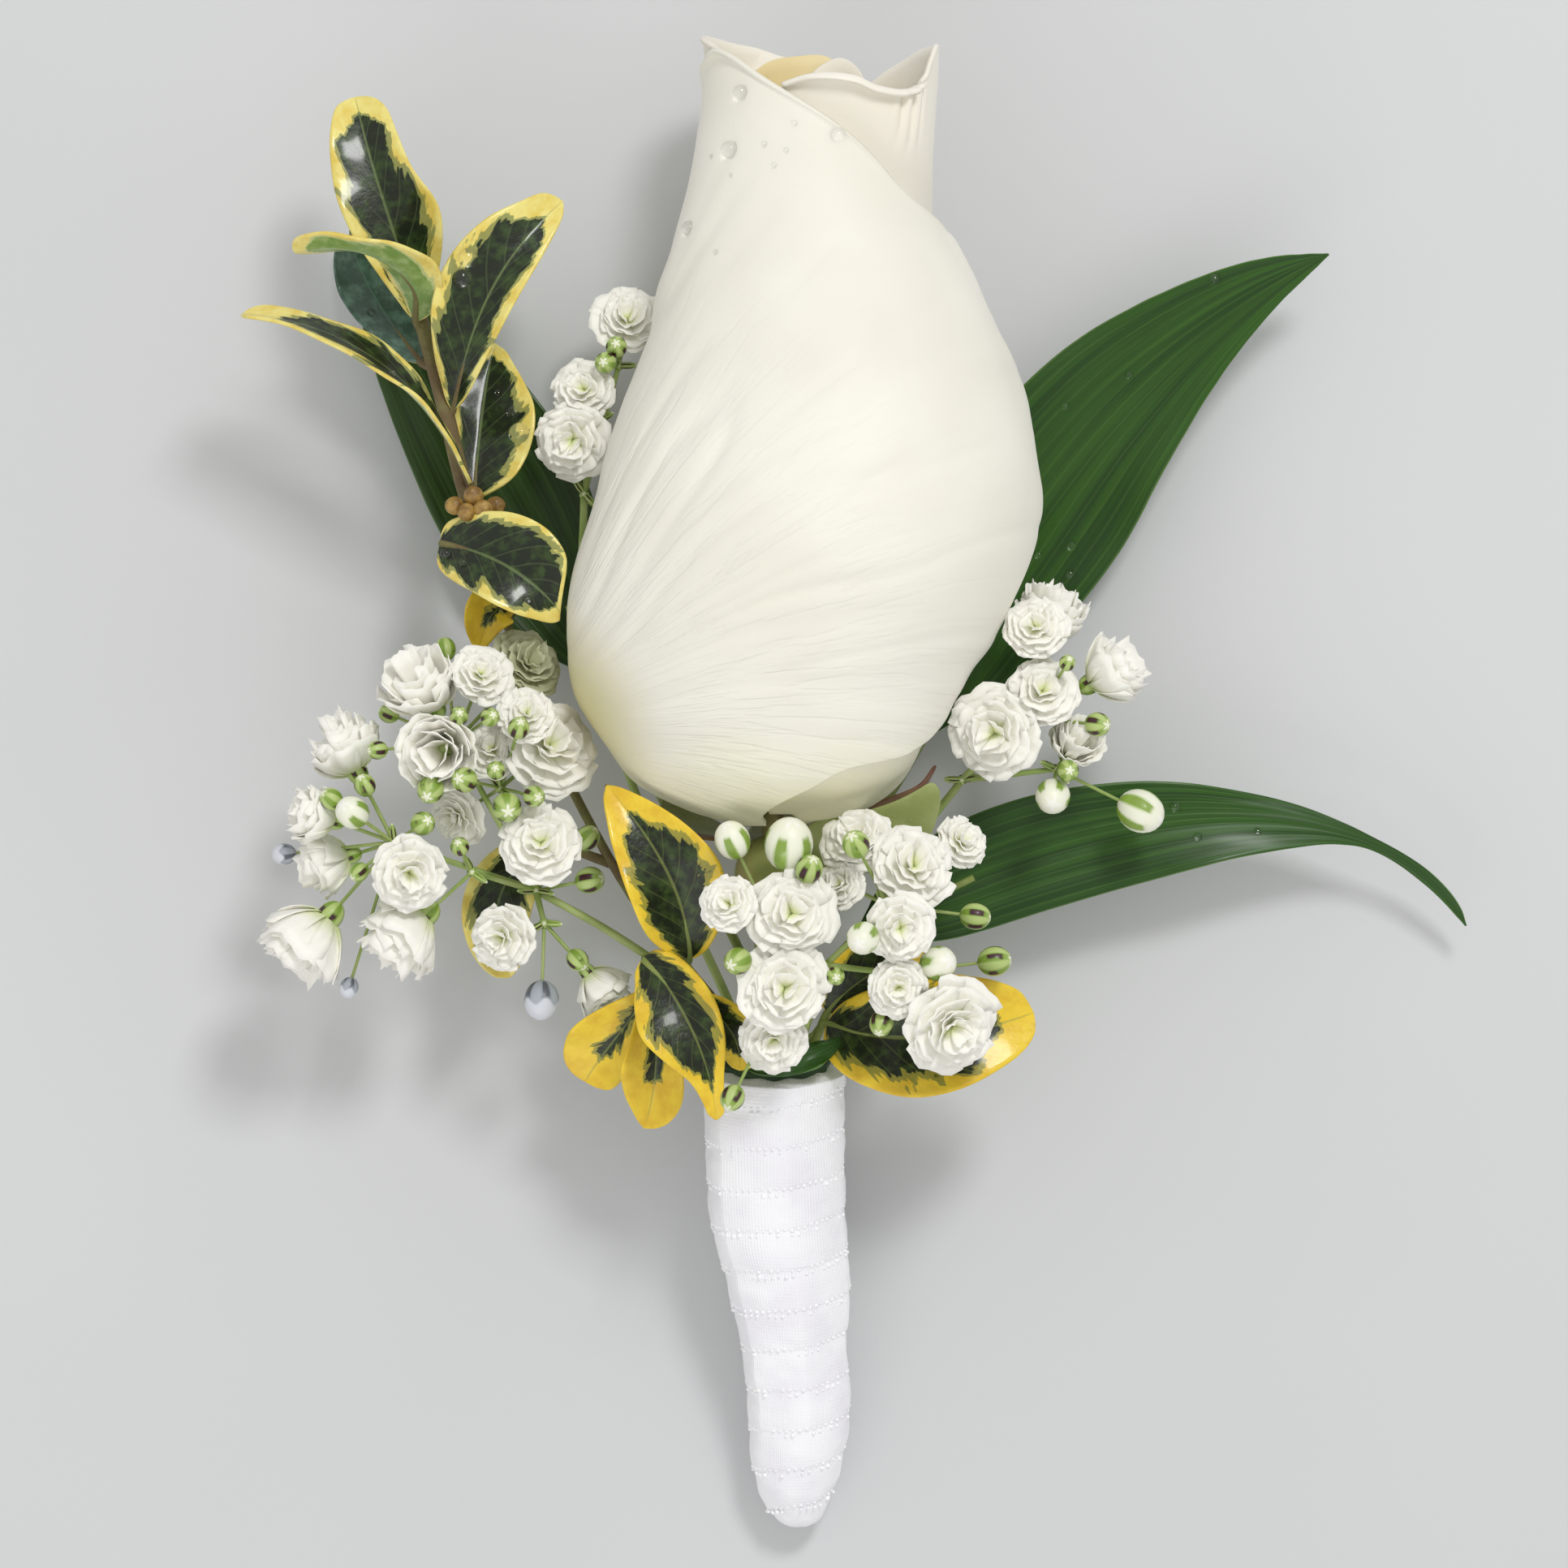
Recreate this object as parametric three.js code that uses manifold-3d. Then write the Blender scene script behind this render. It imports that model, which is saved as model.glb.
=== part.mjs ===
// Boutonniere of a white rosebud, ruscus, variegated leaves and baby's breath, with a ribbon-wound handle.
// It lies on its back on a table: +X to its right, +Y towards the flower, +Z up. Millimetres.
// The origin is on the table, under the middle of the whole.
import * as THREE from 'three';
import { mergeVertices } from 'three/addons/utils/BufferGeometryUtils.js';
import Module from 'manifold-3d';

const wasm = await Module();
wasm.setup();

const GAP = 0.3; // clearance between separate pieces
const SLIVER = 0.05; // facets thinner than this are dropped where solids are fused
const TAU = 2 * Math.PI;

// Driving dimensions of the bud
const BUD_FOOT_Y = -2.8;
const BUD_AXIS_Z = 15.2; // a little under the widest radius, so the back of the bud rests on a flat spot
const BUD_HEIGHT = 58.4;
const REST_DEPTH = 0.05; // the back of the bud is cut flat by this much where it lies on the table
const PETAL_THICKNESS = 0.62;
const PETAL_LAYER = 1.28; // from one petal to the next one under it
const BUD_RADII = [[0, 2.6], [0.5, 4.6], [1, 6.3], [2.4, 9.1], [3.8, 10.8], [5.9, 12.2], [9.4, 14.1],
  [14.5, 15.9], [19, 16.75], [22.4, 16.7], [28.3, 15.7], [33.2, 14.2], [39.6, 11.9], [42.8, 10.4],
  [46, 9.4], [49, 8.95], [53, 8.7], [58.4, 8.8]];
const BUD_CENTRES = [[0, -6.5], [5, -6.5], [10, -6.9], [15, -5.7], [20, -4.2], [25, -3.2], [33, -2.7],
  [40, -3.2], [46, -3.8], [53, -3.1], [58.4, -2.8]];
const PETAL_ROWS = [0, 0.9, 2.6, 4, 5.4, 9.5, 14, 18.5, 22.5, 29];
const RIM_STEPS = [0.32, 0.52, 0.7, 0.87, 1];

// Driving dimensions of the handle
const HANDLE_SLOPE = 0.266; // rise of its axis towards the flower
const HANDLE_TOP_Y = -20.8;
const HANDLE_TIP_Y = -55.7;
const HANDLE_REST = { y: -50, z: 3.42 };
const HANDLE_RADII = [[-55.7, 0.5], [-55.1, 1.6], [-54.2, 2.2], [-52.7, 2.9], [-49.9, 3.6], [-46.2, 3.95],
  [-41, 4.1], [-38.6, 4.5], [-36.5, 4.75], [-32.4, 5.15], [-26, 5.3], [-18, 5.4]];
const HANDLE_CENTRES = [[-55.7, -4.5], [-52.7, -4.75], [-46.2, -4.5], [-41.8, -4.9], [-36.5, -5.4],
  [-32.4, -6.1], [-26, -6.3], [-18, -6.4]];
const RIBBON_WALL = 0.9;
const RIBBON_PITCH = 3.1;
const RIBBON_STEP = 0.28;
const TAPE_PROUD = 0.7; // the binding shows above the ribbon by this much
const HANDLE_SIDES = 16;
const HANDLE_STATIONS = [-54.6, -53.4, -51.5, -48, -41, -38.6, -36.5, -32.4, -26, -17];

// Driving dimensions of stems and leaves
const BLADE_THICKNESS = 0.64;
const STEM_RADIUS = 0.42;
const STEM_RING_RADIUS = 2.95; // stems stand in the binding in a ring round the rose stem
const STEM_DEPTH = 8;
const STEM_SLOTS = 10;
const ROSE_SLOT = -1;
const WOODY_RADIUS = 0.6;
const STALK_RADIUS = 0.32;
const CLOSE = 0.15; // extra room for facets that cut across a curve
const ROSE_STEM_RADIUS = 1.45;
const HIP_RADIUS = 2.8;
const STUB_RADIUS = 0.8;
const SEPAL_ANGLES = [84, 130, 176, 220, 262];

const MATERIALS = {
  petal: { color: '#f1eee3', roughness: 0.55, metalness: 0 },
  innerPetal: { color: '#eadfbd', roughness: 0.6, metalness: 0 },
  stem: { color: '#7f8f4a', roughness: 0.6, metalness: 0 },
  ruscus: { color: '#2f5a2b', roughness: 0.35, metalness: 0 },
  variegated: { color: '#4c5f33', roughness: 0.3, metalness: 0 },
  brownBud: { color: '#8e6a3c', roughness: 0.6, metalness: 0 },
  blossom: { color: '#eef0e2', roughness: 0.7, metalness: 0 },
  tape: { color: '#33502f', roughness: 0.8, metalness: 0 },
  ribbon: { color: '#f2f3f8', roughness: 0.35, metalness: 0 },
};

// A smooth curve through [x, y] pairs, level beyond its ends.
function curveThrough(pairs) {
  const slope = (i) => {
    const a = pairs[Math.max(i - 1, 0)];
    const b = pairs[Math.min(i + 1, pairs.length - 1)];
    return (b[1] - a[1]) / (b[0] - a[0]);
  };
  return (x) => {
    if (x <= pairs[0][0]) return pairs[0][1];
    if (x >= pairs.at(-1)[0]) return pairs.at(-1)[1];
    const i = pairs.findIndex((pair) => pair[0] > x) - 1;
    const span = pairs[i + 1][0] - pairs[i][0];
    const t = (x - pairs[i][0]) / span;
    const rise = pairs[i + 1][1] - pairs[i][1];
    const a = slope(i) * span - rise;
    const b = rise - slope(i + 1) * span;
    return pairs[i][1] + rise * t + t * (1 - t) * (a * (1 - t) + b * t);
  };
}

const ease = (t) => THREE.MathUtils.smoothstep(t, 0, 1);
const point = (values) => new THREE.Vector3(...values);

// ---------- solids ----------

function solidOf(geometry) {
  const bare = geometry.clone();
  bare.deleteAttribute('normal');
  bare.deleteAttribute('uv');
  const merged = mergeVertices(bare, 1e-4);
  const vertProperties = new Float32Array(merged.attributes.position.array);
  const triVerts = new Uint32Array(merged.index.array);
  const solid = new wasm.Manifold(new wasm.Mesh({ numProp: 3, vertProperties, triVerts }));
  if (solid.volume() > 0) return solid;
  for (let i = 0; i < triVerts.length; i += 3) {
    [triVerts[i], triVerts[i + 1]] = [triVerts[i + 1], triVerts[i]];
  }
  return new wasm.Manifold(new wasm.Mesh({ numProp: 3, vertProperties, triVerts }));
}

// All the solids as one body; a scrap that a cut has left loose is dropped.
function fused(solids) {
  const whole = wasm.Manifold.union(solids).asOriginal().simplify(SLIVER);
  return whole.decompose().sort((a, b) => b.volume() - a.volume())[0];
}

function meshOf(name, solid, finish) {
  const { vertProperties, triVerts } = solid.getMesh();
  const geometry = new THREE.BufferGeometry();
  geometry.setAttribute('position', new THREE.Float32BufferAttribute(vertProperties, 3));
  geometry.setIndex(Array.from(triVerts));
  geometry.computeVertexNormals();
  const mesh = new THREE.Mesh(geometry, new THREE.MeshStandardMaterial(MATERIALS[finish]));
  mesh.name = name;
  return mesh;
}

// A blade of even thickness round surface(u, v), with both faces split into triangles alike.
function blade(surface, columns, rows, thickness) {
  const sheet = new THREE.PlaneGeometry(1, 1, columns, rows);
  const place = sheet.attributes.position;
  for (let i = 0; i < place.count; i++) {
    const { x, y, z } = surface(place.getX(i) + 0.5, place.getY(i) + 0.5);
    place.setXYZ(i, x, y, z);
  }
  sheet.computeVertexNormals();
  const normal = sheet.attributes.normal;
  const corners = [];
  for (const side of [0.5, -0.5]) {
    for (let i = 0; i < place.count; i++) {
      const step = side * thickness;
      corners.push(place.getX(i) + normal.getX(i) * step);
      corners.push(place.getY(i) + normal.getY(i) * step);
      corners.push(place.getZ(i) + normal.getZ(i) * step);
    }
  }
  const faces = Array.from(sheet.index.array);
  const back = place.count;
  for (let i = 0; i < sheet.index.count; i += 3) {
    const [a, b, c] = [0, 1, 2].map((k) => sheet.index.getX(i + k));
    faces.push(back + a, back + c, back + b);
  }
  const border = [];
  const wide = columns + 1;
  for (let k = 0; k < columns; k++) border.push(k);
  for (let k = 0; k < rows; k++) border.push(columns + k * wide);
  for (let k = columns; k > 0; k--) border.push(rows * wide + k);
  for (let k = rows; k > 0; k--) border.push(k * wide);
  border.forEach((a, k) => {
    const b = border[(k + 1) % border.length];
    faces.push(a, b, back + b, a, back + b, back + a);
  });
  const solid = new THREE.BufferGeometry();
  solid.setAttribute('position', new THREE.Float32BufferAttribute(corners, 3));
  solid.setIndex(faces);
  return solidOf(solid);
}

function tube(points, radius, sides, steps) {
  const section = new THREE.Shape();
  for (let k = 0; k < sides; k++) {
    const angle = (k / sides) * TAU;
    const [x, y] = [radius * Math.cos(angle), radius * Math.sin(angle)];
    if (k === 0) section.moveTo(x, y);
    else section.lineTo(x, y);
  }
  const extrudePath = new THREE.CatmullRomCurve3(points);
  return solidOf(new THREE.ExtrudeGeometry(section, { steps, bevelEnabled: false, extrudePath }));
}

function ball(centre, radius) {
  const geometry = new THREE.IcosahedronGeometry(radius, 0);
  geometry.translate(centre.x, centre.y, centre.z);
  return solidOf(geometry);
}

function belowTable() {
  const box = new THREE.BoxGeometry(200, 200, 10);
  box.translate(0, 0, -5);
  return solidOf(box);
}

// ---------- rosebud ----------

const budRadius = curveThrough(BUD_RADII);
const budCentre = curveThrough(BUD_CENTRES);

// A point inside the outline of the bud by `inward`; angle 0 faces up, 90 degrees faces +X.
// The back of the bud is flattened at `floor` above the table.
function budPoint(angle, height, inward, floor = inward) {
  const step = 0.05;
  const low = Math.max(height - step, 0);
  const slope = (budRadius(low + 2 * step) - budRadius(low)) / (2 * step);
  const lean = 1 / Math.hypot(1, slope);
  const radius = budRadius(height) - inward * lean;
  const turn = THREE.MathUtils.degToRad(angle);
  return new THREE.Vector3(
    budCentre(height) + radius * Math.sin(turn),
    BUD_FOOT_Y + height + inward * slope * lean,
    Math.max(BUD_AXIS_Z + radius * Math.cos(turn), floor - REST_DEPTH),
  );
}

// A petal reaches from its claw to its rim; sides give its edges by height, and rim its height by angle.
const PETALS = [
  {
    name: 'rose_petal_front', finish: 'petal', columns: 14, curl: 0.35,
    left: [[0, -60], [3, -85], [5, -110], [9, -138], [14, -150]],
    right: [[0.5, -10], [2.7, 16], [4.3, 31], [5.3, 58], [8.3, 82], [13, 92], [20, 97]],
    rim: [[-150, 41], [-120, 51], [-95, 55.3], [-70, 56.6], [-57, 56.9], [-30, 54.7], [-6, 52.7],
      [26, 49.4], [52, 46.1], [80, 44], [97, 42.5]],
  },
  {
    name: 'rose_petal_right', finish: 'petal', columns: 20, curl: 0.3,
    left: [[0, -5], [6, -14], [16, -20]],
    right: [[0, 140], [3, 170], [6, 200], [10, 220], [16, 230]],
    rim: [[-20, 54.2], [-5, 54.7], [15, 54.6], [27, 54], [45, 53.8], [60, 54.4], [75, 56.2], [90, 57.6],
      [118, 57.6], [133, 57], [145, 56.3], [154, 55.4], [180, 53.5], [210, 50], [230, 46]],
  },
  {
    name: 'rose_petal_left_back', finish: 'petal', columns: 13, curl: 0.3,
    left: [[0, -160], [4, -180], [10, -200]],
    right: [[0, -75], [6, -52], [12, -45]],
    rim: [[-200, 53], [-190, 54.5], [-180, 56.4], [-172, 57], [-159, 57.3], [-148, 58], [-132, 58.2],
      [-97, 58.4], [-80, 57.8], [-65, 56], [-45, 53.5]],
  },
  {
    name: 'rose_petal_inner_back', finish: 'innerPetal', columns: 10, curl: 0,
    left: [[0, -220], [10, -250]],
    right: [[0, -100], [10, -60]],
    rim: [[-250, 52], [-210, 55.5], [-185, 57], [-165, 57.2], [-140, 56.8], [-100, 55], [-60, 52]],
  },
  {
    name: 'rose_petal_inner_right', finish: 'innerPetal', columns: 8, curl: 0,
    left: [[0, 110], [10, 90]],
    right: [[0, 200], [10, 230]],
    rim: [[90, 53], [130, 55.8], [150, 56.6], [165, 56.8], [185, 56], [230, 52]],
  },
].map((petal) => ({
  ...petal,
  left: curveThrough(petal.left),
  right: curveThrough(petal.right),
  rim: curveThrough(petal.rim),
}));

// 1 where the petal covers what lies under it, easing to 0 past its edges and its rim.
function cover(petal, angle, height, rimMargin, rimEase) {
  const sideEase = 36;
  const sideMargin = 12;
  const reach = 3.4;
  const middle = (petal.left(BUD_HEIGHT) + petal.right(BUD_HEIGHT)) / 2;
  const turned = middle + THREE.MathUtils.euclideanModulo(angle - middle + 180, 360) - 180;
  const past = [-reach, 0, reach].map((shift) => Math.min(
    (petal.right(height + shift) + sideMargin + sideEase - turned) / sideEase,
    (turned - petal.left(height + shift) + sideMargin + sideEase) / sideEase,
    (petal.rim(turned) + rimMargin + rimEase - height) / rimEase,
  ));
  return ease(Math.max(...past));
}

// How far a petal's outer face lies inside the outline of the bud.
function petalInward(index, angle, height) {
  const [front, right] = PETALS;
  const fromRight = angle < -75 ? angle + 360 : angle;
  if (index === 0) return 0;
  if (index === 1 && fromRight > 155) return PETAL_LAYER * ease((fromRight - 165) / 36);
  if (index === 1) return PETAL_LAYER * cover(front, angle, height, 3.5, 5);
  if (index > 2) return PETAL_LAYER * index;
  const underRight = cover(right, angle, height, 3.5, 5);
  const underFront = PETAL_LAYER * cover(front, angle, height, 0.3, 2);
  const below = petalInward(1, angle, height) + PETAL_LAYER + 0.1;
  return THREE.MathUtils.lerp(underFront, below, underRight);
}

function petalSolid(petal, index) {
  const rows = PETAL_ROWS.length - 1 + RIM_STEPS.length;
  const surface = (u, v) => {
    const rim = petal.rim(THREE.MathUtils.lerp(petal.left(BUD_HEIGHT), petal.right(BUD_HEIGHT), u));
    const row = Math.round(v * rows);
    const low = PETAL_ROWS.at(-1);
    const height = PETAL_ROWS[row] ?? low + (rim - low) * RIM_STEPS[row - PETAL_ROWS.length];
    const angle = THREE.MathUtils.lerp(petal.left(height), petal.right(height), u);
    const edge = Math.max(ease((height - rim + 3) / 3), ease((u - 0.86) / 0.14) * ease(height / 25));
    const curl = petal.curl * edge;
    const inward = petalInward(index, angle, height) + PETAL_THICKNESS / 2 - curl;
    return budPoint(angle, height, inward, index === 1 ? PETAL_THICKNESS / 2 : inward);
  };
  return fused([blade(surface, petal.columns, rows, PETAL_THICKNESS).subtract(belowTable())]);
}

const heartInward = PETAL_LAYER * PETALS.length + 0.15;

// The furled middle of the bud: one closed body under the innermost petals.
function heartSolid() {
  const sides = 14;
  const inward = heartInward;
  const outline = [0.9, 2.6, 5.2, 9.5, 14, 18.5, 22.5, 28, 34, 41, 47].map((height) => {
    const place = budPoint(90, height, inward);
    return new THREE.Vector2(place.x - budCentre(height), place.y);
  });
  const foot = new THREE.Vector2(0, outline[0].y);
  const tip = [new THREE.Vector2(2.2, 48.5), new THREE.Vector2(1.1, 50.6), new THREE.Vector2(0, 51)];
  const geometry = new THREE.LatheGeometry([foot, ...outline, ...tip], sides);
  const place = geometry.attributes.position;
  for (let i = 0; i < place.count; i++) {
    const [x, y, z] = [place.getX(i), place.getY(i), place.getZ(i)];
    place.setXYZ(i, x + budCentre(y - BUD_FOOT_Y), y, Math.max(z + BUD_AXIS_Z, inward - REST_DEPTH));
  }
  return solidOf(geometry);
}

// Moves a point out of the bud, so that what passes close is bent round it, and keeps it above the table.
function clearOfBud(place, margin) {
  const height = place.y - BUD_FOOT_Y;
  const moved = place.clone();
  moved.z = Math.max(moved.z, BLADE_THICKNESS / 2);
  if (height < -margin || height > BUD_HEIGHT + margin) return moved;
  const [x, z] = [place.x - budCentre(height), moved.z - BUD_AXIS_Z];
  const near = Math.max(Math.hypot(x, z), 1e-6);
  const wanted = budRadius(Math.max(height, 0)) + margin;
  if (near >= wanted) return moved;
  moved.z = Math.max(BUD_AXIS_Z + (z / near) * wanted, BLADE_THICKNESS / 2);
  const aside = Math.sqrt(Math.max(wanted ** 2 - (moved.z - BUD_AXIS_Z) ** 2, 0));
  moved.x = budCentre(height) + Math.sign(x) * aside;
  return moved;
}

// ---------- handle ----------

const handleRadius = curveThrough(HANDLE_RADII);
const handleCentre = curveThrough(HANDLE_CENTRES);
const handleAxis = new THREE.Vector3(0, 1, HANDLE_SLOPE).normalize();
const handleFront = new THREE.Vector3(0, -HANDLE_SLOPE, 1).normalize();

// A point round the handle's axis; angle 0 faces +X and 90 degrees faces up.
function handlePoint(y, angle, radius) {
  const centre = new THREE.Vector3(handleCentre(y), y, HANDLE_REST.z + HANDLE_SLOPE * (y - HANDLE_REST.y));
  centre.x += radius * Math.cos(angle);
  centre.addScaledVector(handleFront, radius * Math.sin(angle));
  return centre;
}

// A closed solid round the handle's axis between two stations; radiusAt may shift a row along the axis.
function turnedRound(stations, radiusAt, sides) {
  const profile = [new THREE.Vector2(0, 0), ...stations.map((y, k) => new THREE.Vector2(1, k)),
    new THREE.Vector2(0, stations.length - 1)];
  const geometry = new THREE.LatheGeometry(profile, sides);
  const place = geometry.attributes.position;
  for (let i = 0; i < place.count; i++) {
    const [x, row, z] = [place.getX(i), place.getY(i), place.getZ(i)];
    const y = stations[Math.round(row)];
    const onAxis = Math.hypot(x, z) < 0.5;
    const { x: px, y: py, z: pz } = handlePoint(y, Math.atan2(z, x), onAxis ? 0 : radiusAt(y));
    place.setXYZ(i, px, py, pz);
  }
  return solidOf(geometry);
}

// The wound ribbon: its turns climb as a helix, each lapping a step over the one before.
function windingSolid() {
  const sides = HANDLE_SIDES;
  const rows = 2 * Math.ceil((HANDLE_TOP_Y + 6 - HANDLE_TIP_Y) / RIBBON_PITCH) + 2;
  const lapWidth = 0.12;
  const corners = [];
  const faces = [];
  const at = (row, k) => (k < sides ? row * sides + k : (row + 2) * sides + k - sides);
  for (let row = 0; row < rows; row++) {
    for (let k = 0; k < sides; k++) {
      const climb = Math.floor(row / 2) + k / sides - 1;
      const start = HANDLE_TIP_Y + row * 0.05 + k * 0.004;
      const y = Math.max(HANDLE_TIP_Y + climb * RIBBON_PITCH + (row % 2) * lapWidth, start);
      const radius = handleRadius(y) - (row % 2 ? 0 : RIBBON_STEP);
      const place = handlePoint(y, (k / sides) * TAU, radius);
      corners.push(place.x, place.y, Math.max(place.z, 0));
      if (row === rows - 1 || (k === sides - 1 && row + 3 >= rows)) continue;
      const [a, b, c, d] = [at(row, k), at(row, k + 1), at(row + 1, k + 1), at(row + 1, k)];
      faces.push(a, b, c, a, c, d);
    }
  }
  const close = (centre, loop) => {
    const tip = corners.length / 3;
    corners.push(...centre);
    loop.forEach((a, i) => faces.push(tip, a, loop[(i + 1) % loop.length]));
  };
  const round = Array.from({ length: sides }, (_, k) => k);
  const last = rows - 1;
  close(handlePoint(HANDLE_TIP_Y - 0.05, 0, 0), [at(1, 0), at(2, 0), ...round.toReversed()]);
  close(handlePoint(HANDLE_TOP_Y + 12, 0, 0), [...round.map((k) => at(last, k)),
    at(last - 1, sides - 1), at(last - 2, sides - 1)]);
  const solid = new THREE.BufferGeometry();
  solid.setAttribute('position', new THREE.Float32BufferAttribute(corners, 3));
  solid.setIndex(faces);
  return solidOf(solid);
}

// Everything above the square-cut top of the handle, raised along its axis by `rise`.
function aboveHandle(rise) {
  const depth = 30;
  const box = new THREE.BoxGeometry(40, depth, 40);
  box.rotateX(Math.atan(HANDLE_SLOPE));
  const middle = handlePoint(HANDLE_TOP_Y, 0, 0).addScaledVector(handleAxis, rise + depth / 2);
  box.translate(middle.x, middle.y, middle.z);
  return solidOf(box);
}

function ribbonSolid() {
  const bore = turnedRound(HANDLE_STATIONS, (y) => handleRadius(y) - RIBBON_WALL, HANDLE_SIDES);
  return fused([windingSolid().subtract(aboveHandle(0)).subtract(bore)]);
}

// Where a stem stands in the binding: its mouth and its foot, on the handle's axis or in the ring round it.
function seatOfStem(slot) {
  const angle = ((slot + 0.5) / STEM_SLOTS) * TAU;
  const mouth = handlePoint(HANDLE_TOP_Y + TAPE_PROUD, angle, slot === ROSE_SLOT ? 0 : STEM_RING_RADIUS);
  return { mouth, foot: mouth.clone().addScaledVector(handleAxis, -STEM_DEPTH) };
}

// The floral tape bound round the stems, with a plain hole for each.
function tapeSolid() {
  const inset = RIBBON_WALL + GAP;
  const stations = HANDLE_STATIONS.map((y, k) => (k === 0 ? y + GAP : y));
  let tape = turnedRound(stations, (y) => handleRadius(y) - inset, HANDLE_SIDES);
  tape = tape.subtract(aboveHandle(TAPE_PROUD));
  for (let slot = ROSE_SLOT; slot < STEM_SLOTS; slot++) {
    const { mouth, foot } = seatOfStem(slot);
    const radius = (slot === ROSE_SLOT ? ROSE_STEM_RADIUS : STEM_RADIUS) + GAP;
    const path = [foot.addScaledVector(handleAxis, -GAP), mouth.addScaledVector(handleAxis, 3)];
    tape = tape.subtract(tube(path, radius, slot === ROSE_SLOT ? 12 : 7, 1));
  }
  return fused([tape]);
}

// A stem: straight from its foot in the binding to just above its mouth, then on through the given places.
function stemSolids(slot, places, sides, steps) {
  const { mouth, foot } = seatOfStem(slot);
  const above = mouth.clone().addScaledVector(handleAxis, 1.6);
  const outside = places.map((place) => clearOfBud(point(place), STEM_RADIUS + GAP + CLOSE));
  return [tube([foot, above], STEM_RADIUS, sides, 1),
    tube([mouth.addScaledVector(handleAxis, 1.1), ...outside], STEM_RADIUS, sides, steps)];
}

// ---------- leaves ----------

// Half width of a leaf along its length as a share of its widest, for a base and a tip of given fullness.
function leafOutline(v, [base, tip]) {
  const widest = base / (base + tip);
  return ((v / widest) ** base) * (((1 - v) / (1 - widest)) ** tip);
}

const midribOf = (leaf) => new THREE.CubicBezierCurve3(...leaf.midrib.map(point));

function leafBlade(leaf) {
  const midrib = midribOf(leaf);
  const face = point(leaf.face ?? [0, 0, 1]).normalize();
  const rows = leaf.rows;
  const narrowest = 0.42;
  const surface = (u, v) => {
    const along = midrib.getTangent(v);
    const side = new THREE.Vector3().crossVectors(along, face).normalize();
    const up = new THREE.Vector3().crossVectors(side, along);
    const across = 2 * u - 1;
    const half = Math.max(leaf.width * leafOutline(v, leaf.form), narrowest);
    const wave = leaf.wave * Math.sin(TAU * (1.6 * v + 0.35 * Math.sign(across))) * across ** 2;
    const lift = Math.abs(across) * half * Math.sin(leaf.fold) + wave * Math.sin(Math.PI * v);
    const place = midrib.getPoint(v);
    place.addScaledVector(side, across * half * Math.cos(leaf.fold));
    place.addScaledVector(up, lift);
    return clearOfBud(place, BLADE_THICKNESS / 2 + GAP + CLOSE);
  };
  return blade(surface, leaf.columns, rows, BLADE_THICKNESS);
}

// A leaf's stalk: from a place on the stem to where the blade is wide enough to hold it.
function stalk(from, leaf) {
  const midrib = midribOf(leaf);
  const places = [point(from), midrib.getPoint(0), midrib.getPoint(0.2)];
  return tube(places.map((place) => clearOfBud(place, STEM_RADIUS + GAP + CLOSE)), STEM_RADIUS, 4, 2);
}

// Leaves on one stem: a terminal leaf holds the end of the stem itself, any other has a stalk.
function leafySprig(sprig) {
  const { terminal } = sprig.shape;
  const places = terminal ? [...sprig.stem, midribOf(sprig.leaves[0]).getPoint(0.2).toArray()] : sprig.stem;
  const pieces = stemSolids(sprig.slot, places, 5, 2 * sprig.stem.length);
  if (sprig.woodyFrom) {
    const woody = sprig.stem.slice(sprig.woodyFrom).map(point);
    pieces.push(tube(woody, WOODY_RADIUS, 6, 2 * woody.length));
  }
  for (const leaf of sprig.leaves) {
    pieces.push(leafBlade({ ...sprig.shape, ...leaf }));
    if (!terminal) pieces.push(stalk(leaf.from ?? sprig.stem.at(-1), leaf));
  }
  return fused(pieces);
}

const RUSCUS = { terminal: true, form: [0.62, 0.95], fold: 0.1, wave: 0.5, columns: 4, rows: 9 };
const VARIEGATED = { form: [0.75, 0.42], fold: 0.28, wave: 0.35, columns: 2, rows: 6 };

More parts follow.
